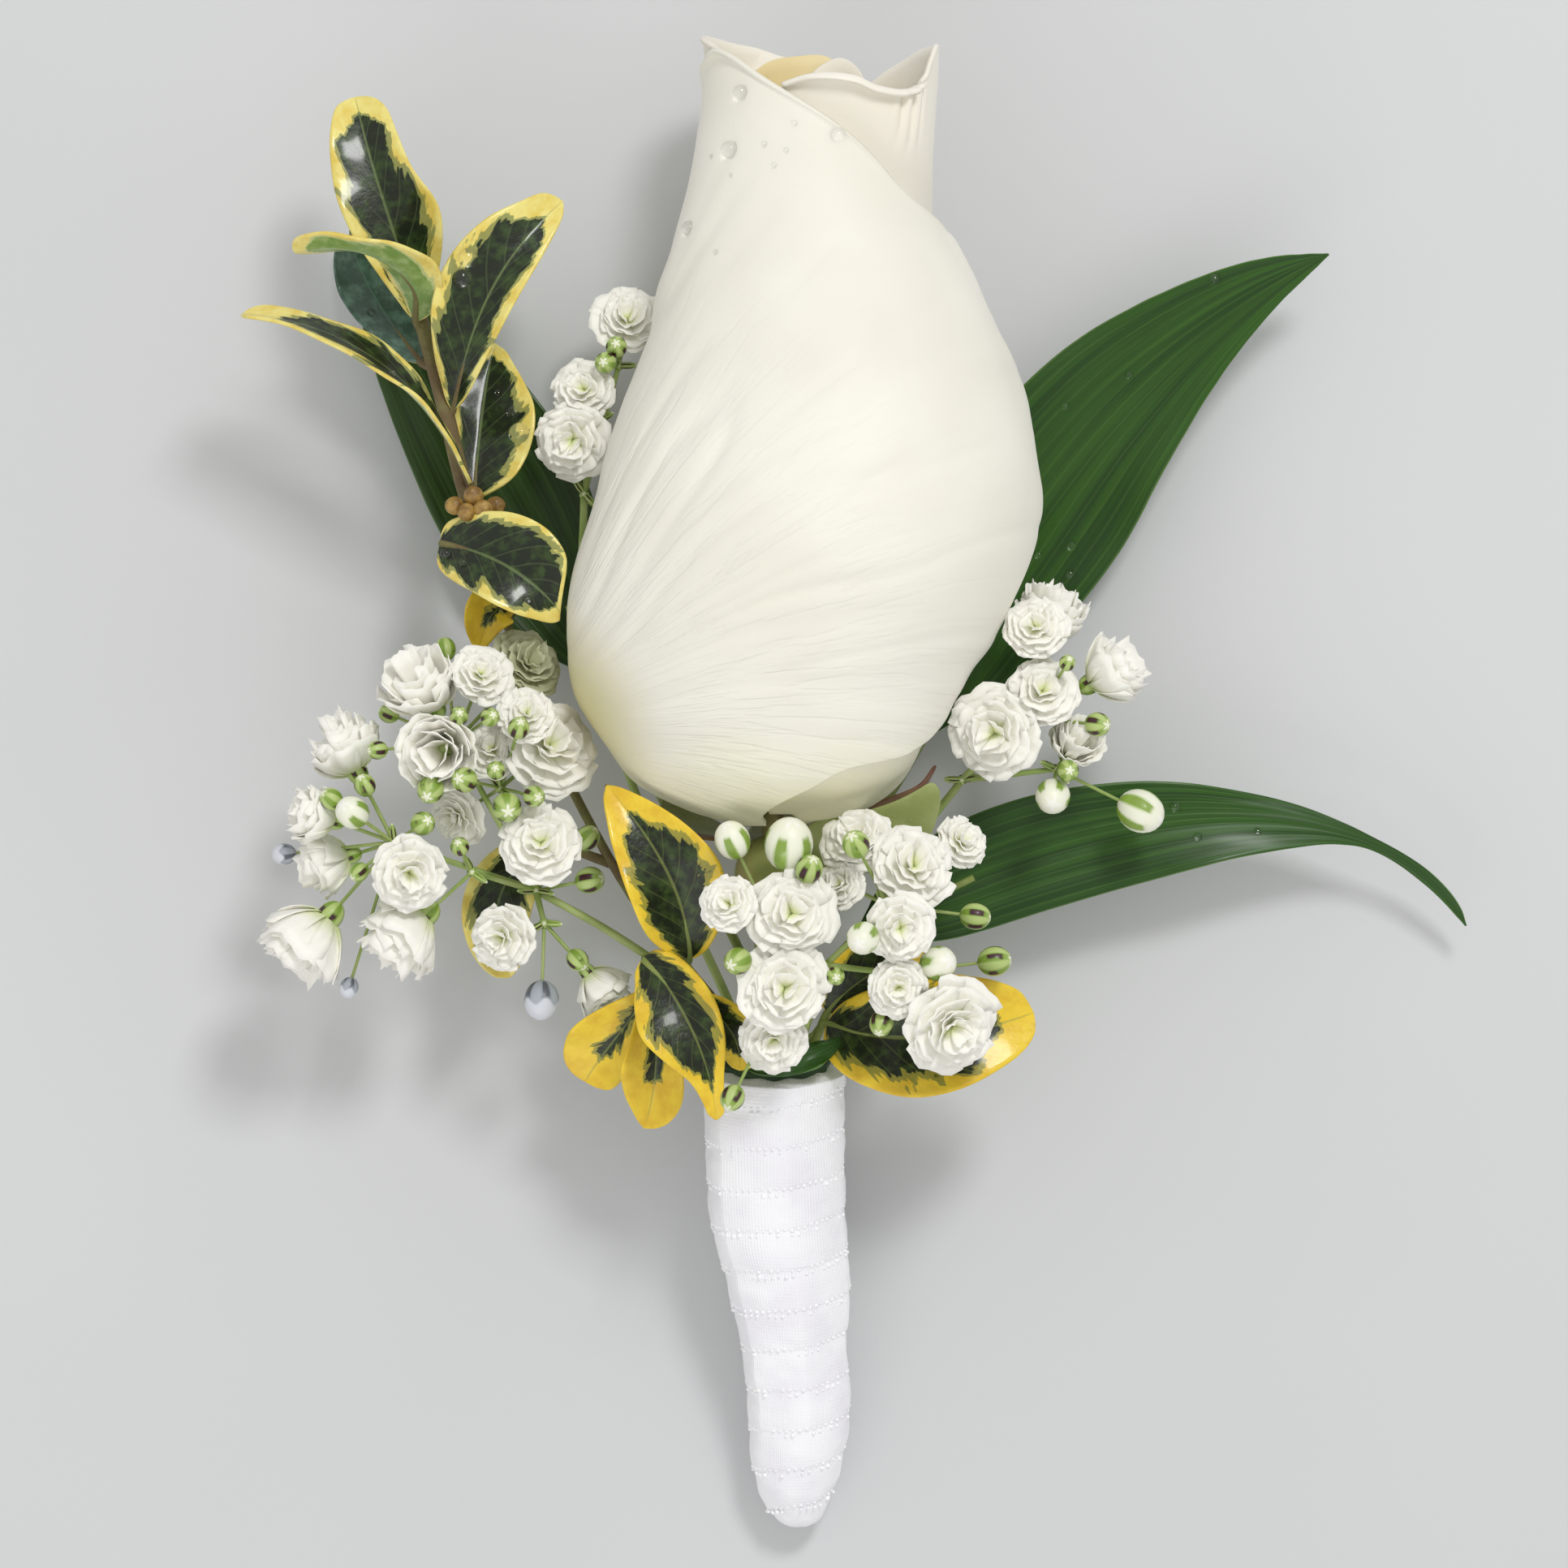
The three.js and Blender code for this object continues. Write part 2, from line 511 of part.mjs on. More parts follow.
const SPRIGS = [
  {
    name: 'ruscus_leaf_left', finish: 'ruscus', slot: 6, shape: RUSCUS,
    stem: [[-8.2, -14, 7], [-12.2, -6, 5], [-19.5, 8.5, 4.2]],
    leaves: [{ midrib: [[-19.5, 8.5, 4.2], [-22.5, 16, 2.2], [-31, 30, 1.2], [-38.3, 42.1, 3.5]],
      width: 6.6 }],
  },
  {
    name: 'ruscus_leaf_upper_right', finish: 'ruscus', slot: 7, shape: RUSCUS,
    stem: [[-5, -14, 7.2], [-0.4, -5, 5.4], [5, 4, 4.4]],
    leaves: [{ midrib: [[5, 4, 4.4], [9.4, 17, 2.4], [20, 32, 3.4], [35.1, 39.9, 8]], width: 8 }],
  },
  {
    name: 'ruscus_leaf_lower_right', finish: 'ruscus', slot: 8, shape: RUSCUS,
    stem: [[-3.4, -15.5, 8.6], [0, -11, 7.6]],
    leaves: [{ midrib: [[0, -11, 7.6], [12, -3.5, 7], [31.2, 1.5, 8], [45.7, -10.4, 3.4]], width: 4.9 }],
  },
  {
    name: 'variegated_sprig_upper', finish: 'variegated', slot: 4, shape: VARIEGATED, woodyFrom: 3,
    stem: [[-9.9, -17, 11.4], [-17, -8, 10], [-23.4, 4, 9.6], [-26.5, 13, 10.4], [-28.8, 20.5, 12],
      [-29.8, 24, 12.6], [-30.9, 28.6, 13.2], [-32.5, 34.5, 13.6], [-33.4, 37, 13.6]],
    leaves: [
      { midrib: [[-32.6, 34.6, 13.6], [-33.8, 39.1, 15], [-36.3, 46.3, 16], [-37.4, 51.2, 13.4]], width: 3.9,
        from: [-32.5, 34.4, 13.6] },
      { midrib: [[-30.2, 28, 13.4], [-29.1, 32.5, 16], [-27.6, 38.2, 18], [-22, 43.4, 14.6]], width: 3.3,
        from: [-30.7, 27.6, 13] },
      { midrib: [[-32.9, 34.6, 14.2], [-31.6, 38, 18], [-36.6, 40.6, 22], [-41.6, 39.4, 19]], width: 2.9,
        from: [-32.4, 34, 13.6], face: [0.2, 0.9, 0.3] },
      { midrib: [[-32.6, 31.6, 12.6], [-34.8, 34.3, 10.4], [-37.2, 37.3, 9.4], [-38.1, 41.3, 9.4]],
        width: 2.9,
        from: [-31.6, 31.2, 13.3], face: [0.3, 0.2, 1] },
      { midrib: [[-28.9, 22.4, 13], [-30.5, 27.1, 17], [-35.4, 34, 19], [-45.7, 34.9, 16]], width: 3.2,
        from: [-29.1, 21.6, 12.3], face: [0.35, 0.8, 0.42] },
      { midrib: [[-28.4, 22, 11.8], [-25.7, 24.7, 10.4], [-25.1, 29.5, 9.4], [-26.9, 33.2, 8.6]], width: 2.9,
        from: [-29, 21.4, 12.2] },
      { midrib: [[-28, 18.9, 14.2], [-26.3, 18.4, 17], [-23.8, 16.2, 18], [-21.8, 12.5, 15.4]], width: 3.9,
        from: [-28, 18.2, 11.7] },
      { midrib: [[-25.7, 13.2, 10.9], [-26.6, 13.5, 12], [-27.6, 12.4, 12.4], [-28.3, 9.9, 11.4]], width: 1.7,
        from: [-26.4, 12.6, 10.4] },
      { midrib: [[-22.4, -4.4, 9.4], [-26.4, -5.2, 10], [-28.6, -9.3, 10.4], [-26, -14.1, 9.6]], width: 2.7,
        from: [-18.6, -5.6, 9.6] },
    ],
  },
  {
    name: 'variegated_sprig_lower_left', finish: 'variegated', slot: 2, shape: VARIEGATED,
    stem: [[-9, -17.5, 15.4], [-12.2, -14.8, 16.4], [-14, -13.2, 16.8]],
    leaves: [
      { midrib: [[-12.6, -12.6, 17.4], [-12.6, -8.3, 19.4], [-15, -3.8, 20.6], [-18.7, 0.2, 19]],
        width: 3.9 },
      { midrib: [[-14.6, -12.5, 17.8], [-13.2, -15.5, 20.2], [-11.4, -20.3, 20.2], [-10.6, -24.4, 18.6]],
        width: 3.5 },
      { midrib: [[-15.2, -13.6, 16.4], [-15.1, -17.3, 17], [-14.6, -20.9, 16], [-16, -25.2, 13.4]],
        width: 3 },
      { midrib: [[-15.4, -14.6, 15.4], [-17.1, -17.6, 14.6], [-19.2, -19.7, 13.4], [-20.4, -21.8, 11.6]],
        width: 2.6 },
      { midrib: [[-12.2, -15.2, 17.4], [-9.9, -17, 18.2], [-8.7, -18.5, 18.2], [-8.9, -20.8, 17.6]],
        width: 2 },
    ],
  },
  {
    name: 'variegated_sprig_lower_right', finish: 'variegated', slot: 0, shape: VARIEGATED,
    stem: [[-2.8, -17.6, 13.6]],
    leaves: [
      { midrib: [[-2.4, -17.4, 14], [1.5, -19.2, 17], [8.1, -18.4, 17.6], [12.8, -16.6, 15]], width: 4.7 },
      { midrib: [[-2.4, -16.6, 13.6], [-1.2, -14.8, 14.6], [1.4, -13.2, 15], [4.8, -11.6, 14]], width: 2.7 },
    ],
  },
];

// ---------- baby's breath ----------

// A double blossom: two ruffled whorls of petals, the inner one standing higher, opening along `facing`.
const BLOSSOM_RINGS = [
  { reach: 0, rise: 0.34 }, { reach: 0.44, rise: 0.62 }, { reach: 0.6, rise: 0.16 },
  { reach: 1, rise: 0.34 }, { reach: 0.38, rise: -0.32 }, { reach: 0, rise: -0.6 },
];

function blossomSolid(centre, radius, facing) {
  const petals = 4;
  const last = BLOSSOM_RINGS.length - 1;
  const geometry = new THREE.SphereGeometry(1, 2 * petals, last);
  const place = geometry.attributes.position;
  const aim = new THREE.Quaternion().setFromUnitVectors(new THREE.Vector3(0, 1, 0), facing);
  for (let i = 0; i < place.count; i++) {
    const ring = Math.round((Math.acos(THREE.MathUtils.clamp(place.getY(i), -1, 1)) / Math.PI) * last);
    const angle = Math.atan2(place.getZ(i), place.getX(i));
    const petalTip = Math.cos(petals * angle) * (ring === 1 ? -1 : 1) > 0;
    const notch = petalTip || ring > 3 ? 1 : 0.76;
    const ruffle = ring % 2 && ring < last ? 0.1 * Math.cos(2 * angle + ring) : 0;
    const reach = BLOSSOM_RINGS[ring].reach * notch;
    const corner = new THREE.Vector3(reach * Math.cos(angle), BLOSSOM_RINGS[ring].rise + ruffle,
      reach * Math.sin(angle));
    corner.multiplyScalar(radius).applyQuaternion(aim).add(centre);
    place.setXYZ(i, corner.x, corner.y, corner.z);
  }
  return solidOf(geometry);
}

// A spray: a stem, hubs where it branches, and a blossom or round bud at the end of each thin stalk.
function spraySolid(spray) {
  const pieces = stemSolids(spray.slot, spray.stem, 5, 6);
  const hubs = spray.hubs.map(point);
  const fork = point(spray.stem.at(-1));
  for (const hub of hubs) {
    const bow = fork.clone().lerp(hub, 0.5).add(new THREE.Vector3(0, 0, 0.6));
    if (hub.distanceTo(fork) > 0.5) pieces.push(tube([fork, bow, hub], STALK_RADIUS, 4, 2));
  }
  const nearestHub = (place) => [...hubs, fork].sort((a, b) => a.distanceTo(place) - b.distanceTo(place))[0];
  const stalkTo = (place, end) => {
    const hub = nearestHub(place);
    const bow = hub.clone().lerp(end, 0.55).add(new THREE.Vector3(0, 0, -0.5));
    pieces.push(tube([hub, bow, end], STALK_RADIUS, 3, 2));
  };
  for (const [x, y, z, radius] of spray.blossoms) {
    const centre = clearOfBud(new THREE.Vector3(x, y, z), radius + GAP + CLOSE);
    const facing = centre.clone().sub(nearestHub(centre)).normalize();
    facing.add(new THREE.Vector3(0, 0, 0.8)).normalize();
    stalkTo(centre, centre.clone().addScaledVector(facing, -0.45 * radius));
    pieces.push(blossomSolid(centre, radius, facing));
  }
  for (const [x, y, z, radius] of spray.buds) {
    const centre = clearOfBud(new THREE.Vector3(x, y, z), radius + GAP + CLOSE);
    stalkTo(centre, centre);
    pieces.push(ball(centre, radius));
  }
  return fused(pieces);
}

const SPRAYS = [
  {
    name: 'babys_breath_left', slot: 3,
    stem: [[-11.5, -15.6, 12.6], [-18, -11, 13], [-24, -7.6, 13.6]],
    hubs: [[-28.7, -6.2, 14.6], [-26.6, 0, 14.6], [-34.5, -4, 14.6], [-23.4, -10, 14], [-30, 3.4, 14]],
    blossoms: [[-32.2, 7.2, 16, 2.7], [-28, 8.3, 17, 1.9], [-24.2, 9.1, 13, 2.2], [-21.5, 3.1, 15.8, 3.4],
      [-24.6, 5.4, 18, 2], [-30.9, 2.8, 18, 2.5], [-38, 2.6, 14, 2.2], [-40.1, -2, 15, 2],
      [-39.1, -5.4, 12.6, 2], [-33.2, -6.2, 18.6, 2.4], [-33.5, -10.6, 15, 3], [-40.6, -11, 14, 3.3],
      [-23.5, -4.1, 18, 2.8], [-26.4, -11, 16, 2.3], [-29.9, -2, 13, 2.1], [-19.4, -14.6, 12.6, 1.8]],
    buds: [[-30.8, 10.3, 12, 0.8], [-34.9, 5.5, 14, 0.7], [-29.5, 5.3, 19, 0.7], [-27.2, 5.2, 20, 0.7],
      [-26.8, 1.3, 19, 0.7], [-31.6, -0.1, 19, 1], [-37.4, -1.8, 18, 1.2], [-35.6, 2.8, 17, 0.7],
      [-37, -6.2, 16, 0.7], [-29.5, -4.3, 18, 0.7], [-26, -1.4, 19, 1.1], [-20.2, -3.7, 14.6, 0.9],
      [-20, -6.8, 15, 1], [-42.7, -4.9, 13, 0.8], [-37.9, -14.8, 13, 0.7], [-23.6, -15.7, 14, 1.3]],
  },
  {
    name: 'babys_breath_centre', slot: 1,
    stem: [[-4, -17.4, 16.6], [-2.6, -13, 19]],
    hubs: [[-6, -11, 20], [2, -8.6, 20], [2.6, -13.6, 19.6], [-6, -15.8, 19.8]],
    blossoms: [[-9.6, -8.4, 24.6, 1.9], [-5.1, -9.2, 24, 3], [-0.2, -3.8, 20.6, 2.4], [3.8, -5.8, 22, 2.8],
      [2.8, -10.2, 24.6, 2.4], [-1.4, -7, 21.6, 1.7], [-5.6, -14.6, 24.4, 3], [-6.4, -18.3, 22.4, 1.9],
      [2.7, -14.5, 23.4, 2], [6.6, -17.3, 22.8, 3.2], [7.4, -4, 18.6, 1.9]],
    buds: [[-9.4, -3.8, 23, 1.3], [-5.3, -4.1, 23, 1.8], [-3.8, -5.9, 24, 1], [-0.4, -4.1, 25, 1],
      [0.1, -10.9, 26, 1.2], [8.4, -9.4, 19.6, 1], [9.8, -12.7, 19.4, 1.1], [5.6, -12.8, 23, 1.3],
      [-9, -12.6, 24.4, 1], [1.5, -17.2, 22, 0.9], [-1.9, -13.7, 24, 0.7], [-9.4, -22.6, 23.4, 0.9]],
  },
  {
    name: 'babys_breath_right', slot: 9,
    stem: [[-1.6, -15.6, 10.6], [3.6, -5, 9.4], [7.6, 0.6, 10]],
    hubs: [[9.6, 3, 11], [13, 5.2, 12.4], [14.6, 1.4, 12]],
    blossoms: [[9.4, 4.1, 16.6, 3.1], [14.2, 12.6, 11.6, 2.4], [12.4, 11.8, 16.4, 2.1], [13.4, 7.1, 16, 2.2],
      [18.3, 8.5, 14, 2.5], [15.8, 3.2, 13.6, 1.7]],
    buds: [[17.5, 4.7, 16, 0.9], [15.2, 9.2, 18, 0.6], [15.3, 1.3, 17, 0.8], [14.2, -0.6, 16, 1.3],
      [20.8, -1.7, 13, 1.6]],
  },
  {
    name: 'babys_breath_upper', slot: 5,
    stem: [[-9.6, -16.4, 8.8], [-13, -9, 7.8], [-16.9, 0, 7], [-20.5, 12, 6.8], [-20.6, 22, 7.6]],
    hubs: [[-19.6, 27.4, 7.6], [-18, 31.6, 7.6]],
    blossoms: [[-17, 34.9, 9, 2.4], [-20.5, 29.6, 10.6, 2.2], [-20.4, 25.9, 11.4, 2.6]],
    buds: [[-18.1, 32.8, 11.4, 0.8], [-18.9, 31.6, 12, 0.8]],
  },
];

// ---------- rose stem ----------

// The hip, its stub inside the petals' claws, the stem, and five sepals spread under the bud.
function roseStemSolid() {
  const hipLength = 6;
  const hipTop = BUD_FOOT_Y - PETAL_THICKNESS / 2 - GAP;
  const hip = new THREE.SphereGeometry(1, 12, 7);
  hip.scale(HIP_RADIUS, hipLength / 2, HIP_RADIUS);
  hip.translate(budCentre(0), hipTop - hipLength / 2, BUD_AXIS_Z);
  const { mouth, foot } = seatOfStem(ROSE_SLOT);
  const neck = new THREE.Vector3(budCentre(0), hipTop - hipLength / 2, BUD_AXIS_Z - 0.2);
  const above = mouth.clone().addScaledVector(handleAxis, 2);
  const stubTop = new THREE.Vector3(budCentre(0), budPoint(0, 0.9, heartInward).y - GAP, BUD_AXIS_Z);
  const pieces = [
    solidOf(hip),
    tube([foot, mouth, above, neck], ROSE_STEM_RADIUS, 10, 7),
    tube([neck, stubTop], STUB_RADIUS, 8, 1),
  ];
  const sepalPath = new THREE.CatmullRomCurve3([[0.9, -2], [3, -1.25], [7, -0.7], [10.8, 0.8], [12.5, 3.2]]
    .map(([out, rise]) => new THREE.Vector3(out, BUD_FOOT_Y + rise, 0)));
  for (const angle of SEPAL_ANGLES) {
    const surface = (u, v) => {
      const place = sepalPath.getPoint(v);
      const half = 0.35 + 2.1 * Math.sin(Math.PI * Math.min(0.16 + 0.84 * v, 1)) ** 0.8;
      const turn = THREE.MathUtils.degToRad(angle);
      const across = (2 * u - 1) * half;
      return new THREE.Vector3(
        budCentre(0) + place.x * Math.sin(turn) + across * Math.cos(turn),
        place.y + 0.1 * Math.abs(across),
        BUD_AXIS_Z + place.x * Math.cos(turn) - across * Math.sin(turn),
      );
    };
    pieces.push(blade(surface, 2, 5, BLADE_THICKNESS));
  }
  return fused(pieces);
}

function brownBudCluster() {
  const balls = [[-29.6, 21.1, 14.2, 0.8], [-28.5, 21.7, 14.5, 0.9], [-27.5, 21, 14.1, 0.8],
    [-29, 20.6, 14.9, 0.8], [-28.1, 20.8, 15, 0.85]];
  return fused(balls.map(([x, y, z, radius]) => ball(new THREE.Vector3(x, y, z), radius)));
}

// ---------- assembly ----------

const boutonniere = new THREE.Group();
const add = (name, solid, finish) => boutonniere.add(meshOf(name, solid, finish));

PETALS.forEach((petal, index) => add(petal.name, petalSolid(petal, index), petal.finish));
add('rose_heart', heartSolid(), 'innerPetal');
add('rose_stem_with_calyx', roseStemSolid(), 'stem');
SPRIGS.forEach((sprig) => add(sprig.name, leafySprig(sprig), sprig.finish));
add('brown_bud_cluster', brownBudCluster(), 'brownBud');
SPRAYS.forEach((spray) => add(spray.name, spraySolid(spray), 'blossom'));
add('floral_tape_binding', tapeSolid(), 'tape');
add('ribbon_wrap', ribbonSolid(), 'ribbon');

export default boutonniere;
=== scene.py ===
"""Looks for the boutonniere: a white rosebud, leaves and baby's breath on a ribbon-wound handle.

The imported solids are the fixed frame. A piece here stands for one of them, in the same place, or
adds what is finer than they are. Forms are worked out in millimetres and become metres when they
turn into objects.
"""

import logging
import math
import random
from collections.abc import Callable, Sequence
from dataclasses import dataclass, replace
from enum import Enum
from typing import NamedTuple

import bmesh
import bpy
from mathutils import Matrix, Vector, noise
from mathutils.bvhtree import BVHTree
from mathutils.geometry import interpolate_bezier


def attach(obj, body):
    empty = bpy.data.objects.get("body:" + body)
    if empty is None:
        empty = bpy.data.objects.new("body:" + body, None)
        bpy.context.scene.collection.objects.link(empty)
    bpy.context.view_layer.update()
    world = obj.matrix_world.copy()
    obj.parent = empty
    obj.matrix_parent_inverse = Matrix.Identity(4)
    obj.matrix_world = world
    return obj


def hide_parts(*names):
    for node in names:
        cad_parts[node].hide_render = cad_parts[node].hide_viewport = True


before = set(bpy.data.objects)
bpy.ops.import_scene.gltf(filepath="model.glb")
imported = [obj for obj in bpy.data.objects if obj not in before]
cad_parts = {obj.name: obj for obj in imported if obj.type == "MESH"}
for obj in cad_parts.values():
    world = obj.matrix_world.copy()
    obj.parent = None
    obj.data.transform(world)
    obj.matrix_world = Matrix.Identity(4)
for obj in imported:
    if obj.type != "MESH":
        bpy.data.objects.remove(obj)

LOG = logging.getLogger("boutonniere")
MM = 0.001
TAU = 2 * math.pi
BODY = "root"
WELD = 1e-5  # vertices nearer than this become one
FAN = (-25.0, 3.5)  # where the front petal's creases fan from, x and y
FAN_BEND = 0.0045  # how much they bend, in radians a millimetre
PAST_RIM = 99  # a height past every petal's rim, where its sides have ended
STEM_ROOM = 0.87  # what the middle of a stem keeps from the bud
BLADE_ROOM = 0.6  # what a blade keeps from it
HOLDS_DEW = 0.2  # the sheets thinner than this are blossoms, and hold none

BMesh = bmesh.types.BMesh
Material = bpy.types.Material
Socket = bpy.types.NodeSocket
Triple = tuple[float, float, float]
Quad = tuple[float, float, float, float]
Pairs = Sequence[tuple[float, float]]
Surface = Callable[[float, float], Vector]


class Slot(Enum):
    """The record's material slots, named with the pieces here."""

    PETAL = "petal"
    INNER_PETAL = "innerPetal"
    STEM = "stem"
    RUSCUS = "ruscus"
    VARIEGATED = "variegated"
    BROWN_BUD = "brownBud"
    BLOSSOM = "blossom"
    RIBBON = "ribbon"


# ---------------------------------------------------------------- numbers and curves


def ease(t: float) -> float:
    """A smooth step from 0 to 1."""
    t = min(max(t, 0.0), 1.0)
    return t * t * (3 - 2 * t)


def lerp(a: float, b: float, t: float) -> float:
    """The value t of the way from a to b."""
    return a + (b - a) * t


def round_end(past: float, least: float) -> float:
    """What a rounded end leaves of a half width, by how far past its start a place is."""
    return math.sqrt(max(1 - max(past, 0) ** 2, least))


def vectors(points: Sequence[Triple]) -> list[Vector]:
    """The points as vectors."""
    return [Vector(point) for point in points]


class Profile:
    """A smooth curve through (x, y) pairs, level beyond its ends."""

    def __init__(self, pairs: Pairs) -> None:
        """Keeps the pairs.

        Args:
            pairs: Points in order of x.
        """
        self.pairs = list(pairs)

    def _slope(self, i: int) -> float:
        """The slope at point i, from its neighbours."""
        a = self.pairs[max(i - 1, 0)]
        b = self.pairs[min(i + 1, len(self.pairs) - 1)]
        return (b[1] - a[1]) / (b[0] - a[0])

    def __call__(self, x: float) -> float:
        """The curve's height at x.

        Args:
            x: Where to read it.

        Returns:
            The interpolated value.
        """
        pairs = self.pairs
        if x <= pairs[0][0]:
            return pairs[0][1]
        if x >= pairs[-1][0]:
            return pairs[-1][1]
        i = next(k for k, pair in enumerate(pairs) if pair[0] > x) - 1
        span = pairs[i + 1][0] - pairs[i][0]
        t = (x - pairs[i][0]) / span
        rise = pairs[i + 1][1] - pairs[i][1]
        a = self._slope(i) * span - rise
        b = rise - self._slope(i + 1) * span
        return pairs[i][1] + rise * t + t * (1 - t) * (a * (1 - t) + b * t)


def through(points: Sequence[Vector], share: float) -> Vector:
    """A point on the smooth line through the points.

    Args:
        points: At least two points.
        share: 0 at the first point and 1 at the last.

    Returns:
        The point on the Catmull-Rom line.
    """
    last = len(points) - 1
    place = min(max(share, 0.0), 1.0) * last
    i = min(int(place), last - 1)
    t = place - i
    a, b = points[i], points[i + 1]
    before = points[i - 1] if i > 0 else a + (a - b)
    after = points[i + 2] if i + 2 <= last else b + (b - a)
    return 0.5 * (
        2 * a
        + (b - before) * t
        + (2 * before - 5 * a + 4 * b - after) * t**2
        + (3 * a - before - 3 * b + after) * t**3
    )


# ---------------------------------------------------------------- meshes


def ways_along(line: Sequence[Vector]) -> list[Vector]:
    """The way a line runs at each of its points.

    Args:
        line: The points.

    Returns:
        A unit vector for each.
    """
    last = len(line) - 1
    ends = [(min(k + 1, last), max(k - 1, 0)) for k in range(last + 1)]
    return [(line[after] - line[before]).normalized() for after, before in ends]


def faces_of(made: Sequence[bmesh.types.BMVert]) -> set[bmesh.types.BMFace]:
    """The faces that the vertices belong to."""
    return {face for vert in made for face in vert.link_faces}


def sheet(
    bm: BMesh, columns: int, rows: int, surface: Surface, finish: int = 0
) -> list[bmesh.types.BMVert]:
    """A grid laid over a surface, with its own UV map.

    Args:
        bm: The mesh to add it to.
        columns: Faces along u.
        rows: Faces along v.
        surface: The place of (u, v), each from 0 to 1.
        finish: The index of its material.

    Returns:
        The new vertices.
    """
    made = bmesh.ops.create_grid(
        bm, x_segments=columns, y_segments=rows, size=0.5, calc_uvs=False
    )["verts"]
    layer = bm.loops.layers.uv.verify()
    shares = {v: (v.co.x + 0.5, v.co.y + 0.5) for v in made}
    for face in faces_of(made):
        face.smooth = True
        face.material_index = finish
        for loop in face.loops:
            loop[layer].uv = shares[loop.vert]
    for v, (across, along) in shares.items():
        v.co = surface(across, along)
    return made


def lofted(bm: BMesh, sides: int, rows: int, surface: Surface) -> None:
    """A round form, filled at both ends, over a surface that meets itself at u 0 and 1.

    Args:
        bm: The mesh to add it to.
        sides: Faces round it.
        rows: Faces along it.
        surface: The place of (u, v); u goes round.
    """
    made = sheet(bm, sides, rows, surface)
    bmesh.ops.remove_doubles(bm, verts=made, dist=WELD)
    rims = {e for v in made if v.is_valid for e in v.link_edges if e.is_boundary}
    for face in bmesh.ops.holes_fill(bm, edges=list(rims), sides=0)["faces"]:
        face.smooth = True


def ball(
    bm: BMesh,
    centre: Vector,
    facing: Vector,
    radius: float,
    stretch: float,
    detail: tuple[int, int],
) -> None:
    """A round or long ball whose v runs from its foot to its tip.

    Args:
        bm: The mesh to add it to.
        centre: Its middle.
        facing: The way its tip points.
        radius: Its radius across.
        stretch: Its length as a share of its width.
        detail: Faces round it and along it.
    """
    aim = facing.normalized().to_track_quat("Z", "Y")

    def surface(u: float, v: float) -> Vector:
        """The ball's own surface."""
        turn = math.pi * min(max(v, 0.03), 0.97)
        wide = radius * math.sin(turn)
        local = Vector(
            (
                wide * math.cos(TAU * u),
                wide * math.sin(TAU * u),
                -radius * stretch * math.cos(turn),
            )
        )
        return centre + aim @ local

    lofted(bm, detail[0], detail[1], surface)


@dataclass
class Tubes:
    """Stems and stalks, swept into one mesh."""

    bm: BMesh
    sides: int

    def add(self, points: Sequence[Vector], start: float, end: float, steps: int) -> None:
        """Sweeps a ring along a smooth line.

        Args:
            points: The line's points.
            start: The tube's radius at the first point.
            end: Its radius at the last.
            steps: Stretches along it.
        """
        line = [through(points, k / steps) for k in range(steps + 1)]
        ways = ways_along(line)
        side = ways[0].orthogonal().normalized()
        sides = []
        for way in ways:
            side = (side - way * side.dot(way)).normalized()
            sides.append(side)

        def surface(u: float, v: float) -> Vector:
            """The tube's own surface."""
            k = round(v * steps)
            turn = TAU * u
            up = ways[k].cross(sides[k])
            out = sides[k] * math.cos(turn) + up * math.sin(turn)
            return line[k] + out * lerp(start, end, k / steps)

        lofted(self.bm, self.sides, steps, surface)


@dataclass
class Shell:
    """How a sheet gets its thickness and its smoothness."""

    thickness: float
    subdivisions: int = 1
    back_material: bool = False


class Tops:
    """Where the tops of the petals and the leaves are, for what lies on them."""

    trees: list[BVHTree] = []

    @classmethod
    def keep(cls, bm: BMesh) -> None:
        """Remembers a mesh in millimetres."""
        cls.trees.append(BVHTree.FromBMesh(bm))

    @classmethod
    def over(cls, x: float, y: float) -> tuple[Vector, Vector] | None:
        """The highest remembered place over a spot on the table.

        Args:
            x: The spot.
            y: The spot.

        Returns:
            The place and the way it faces, or None.
        """
        best = None
        for tree in cls.trees:
            place, normal, _, _ = tree.ray_cast(Vector((x, y, 60)), Vector((0, 0, -1)))
            if place is not None and (best is None or place.z > best[0].z):
                best = (place, normal if normal.z > 0 else -normal)
        return best


def mesh_of(bm: BMesh, name: str) -> bpy.types.Mesh:
    """Turns a finished bmesh into a mesh.

    Args:
        bm: The bmesh; it is freed.
        name: The mesh's name.

    Returns:
        The mesh.
    """
    mesh = bpy.data.meshes.new(name)
    bm.to_mesh(mesh)
    bm.free()
    return mesh


def placed(name: str, data: bpy.types.ID, place: Triple = (0, 0, 0)) -> bpy.types.Object:
    """Puts an object into the scene.

    Args:
        name: Its name.
        data: Its mesh, lamp or camera.
        place: Where it stands, in metres.

    Returns:
        The object.
    """
    obj = bpy.data.objects.new(name, data)
    obj.location = place
    bpy.context.scene.collection.objects.link(obj)
    return obj


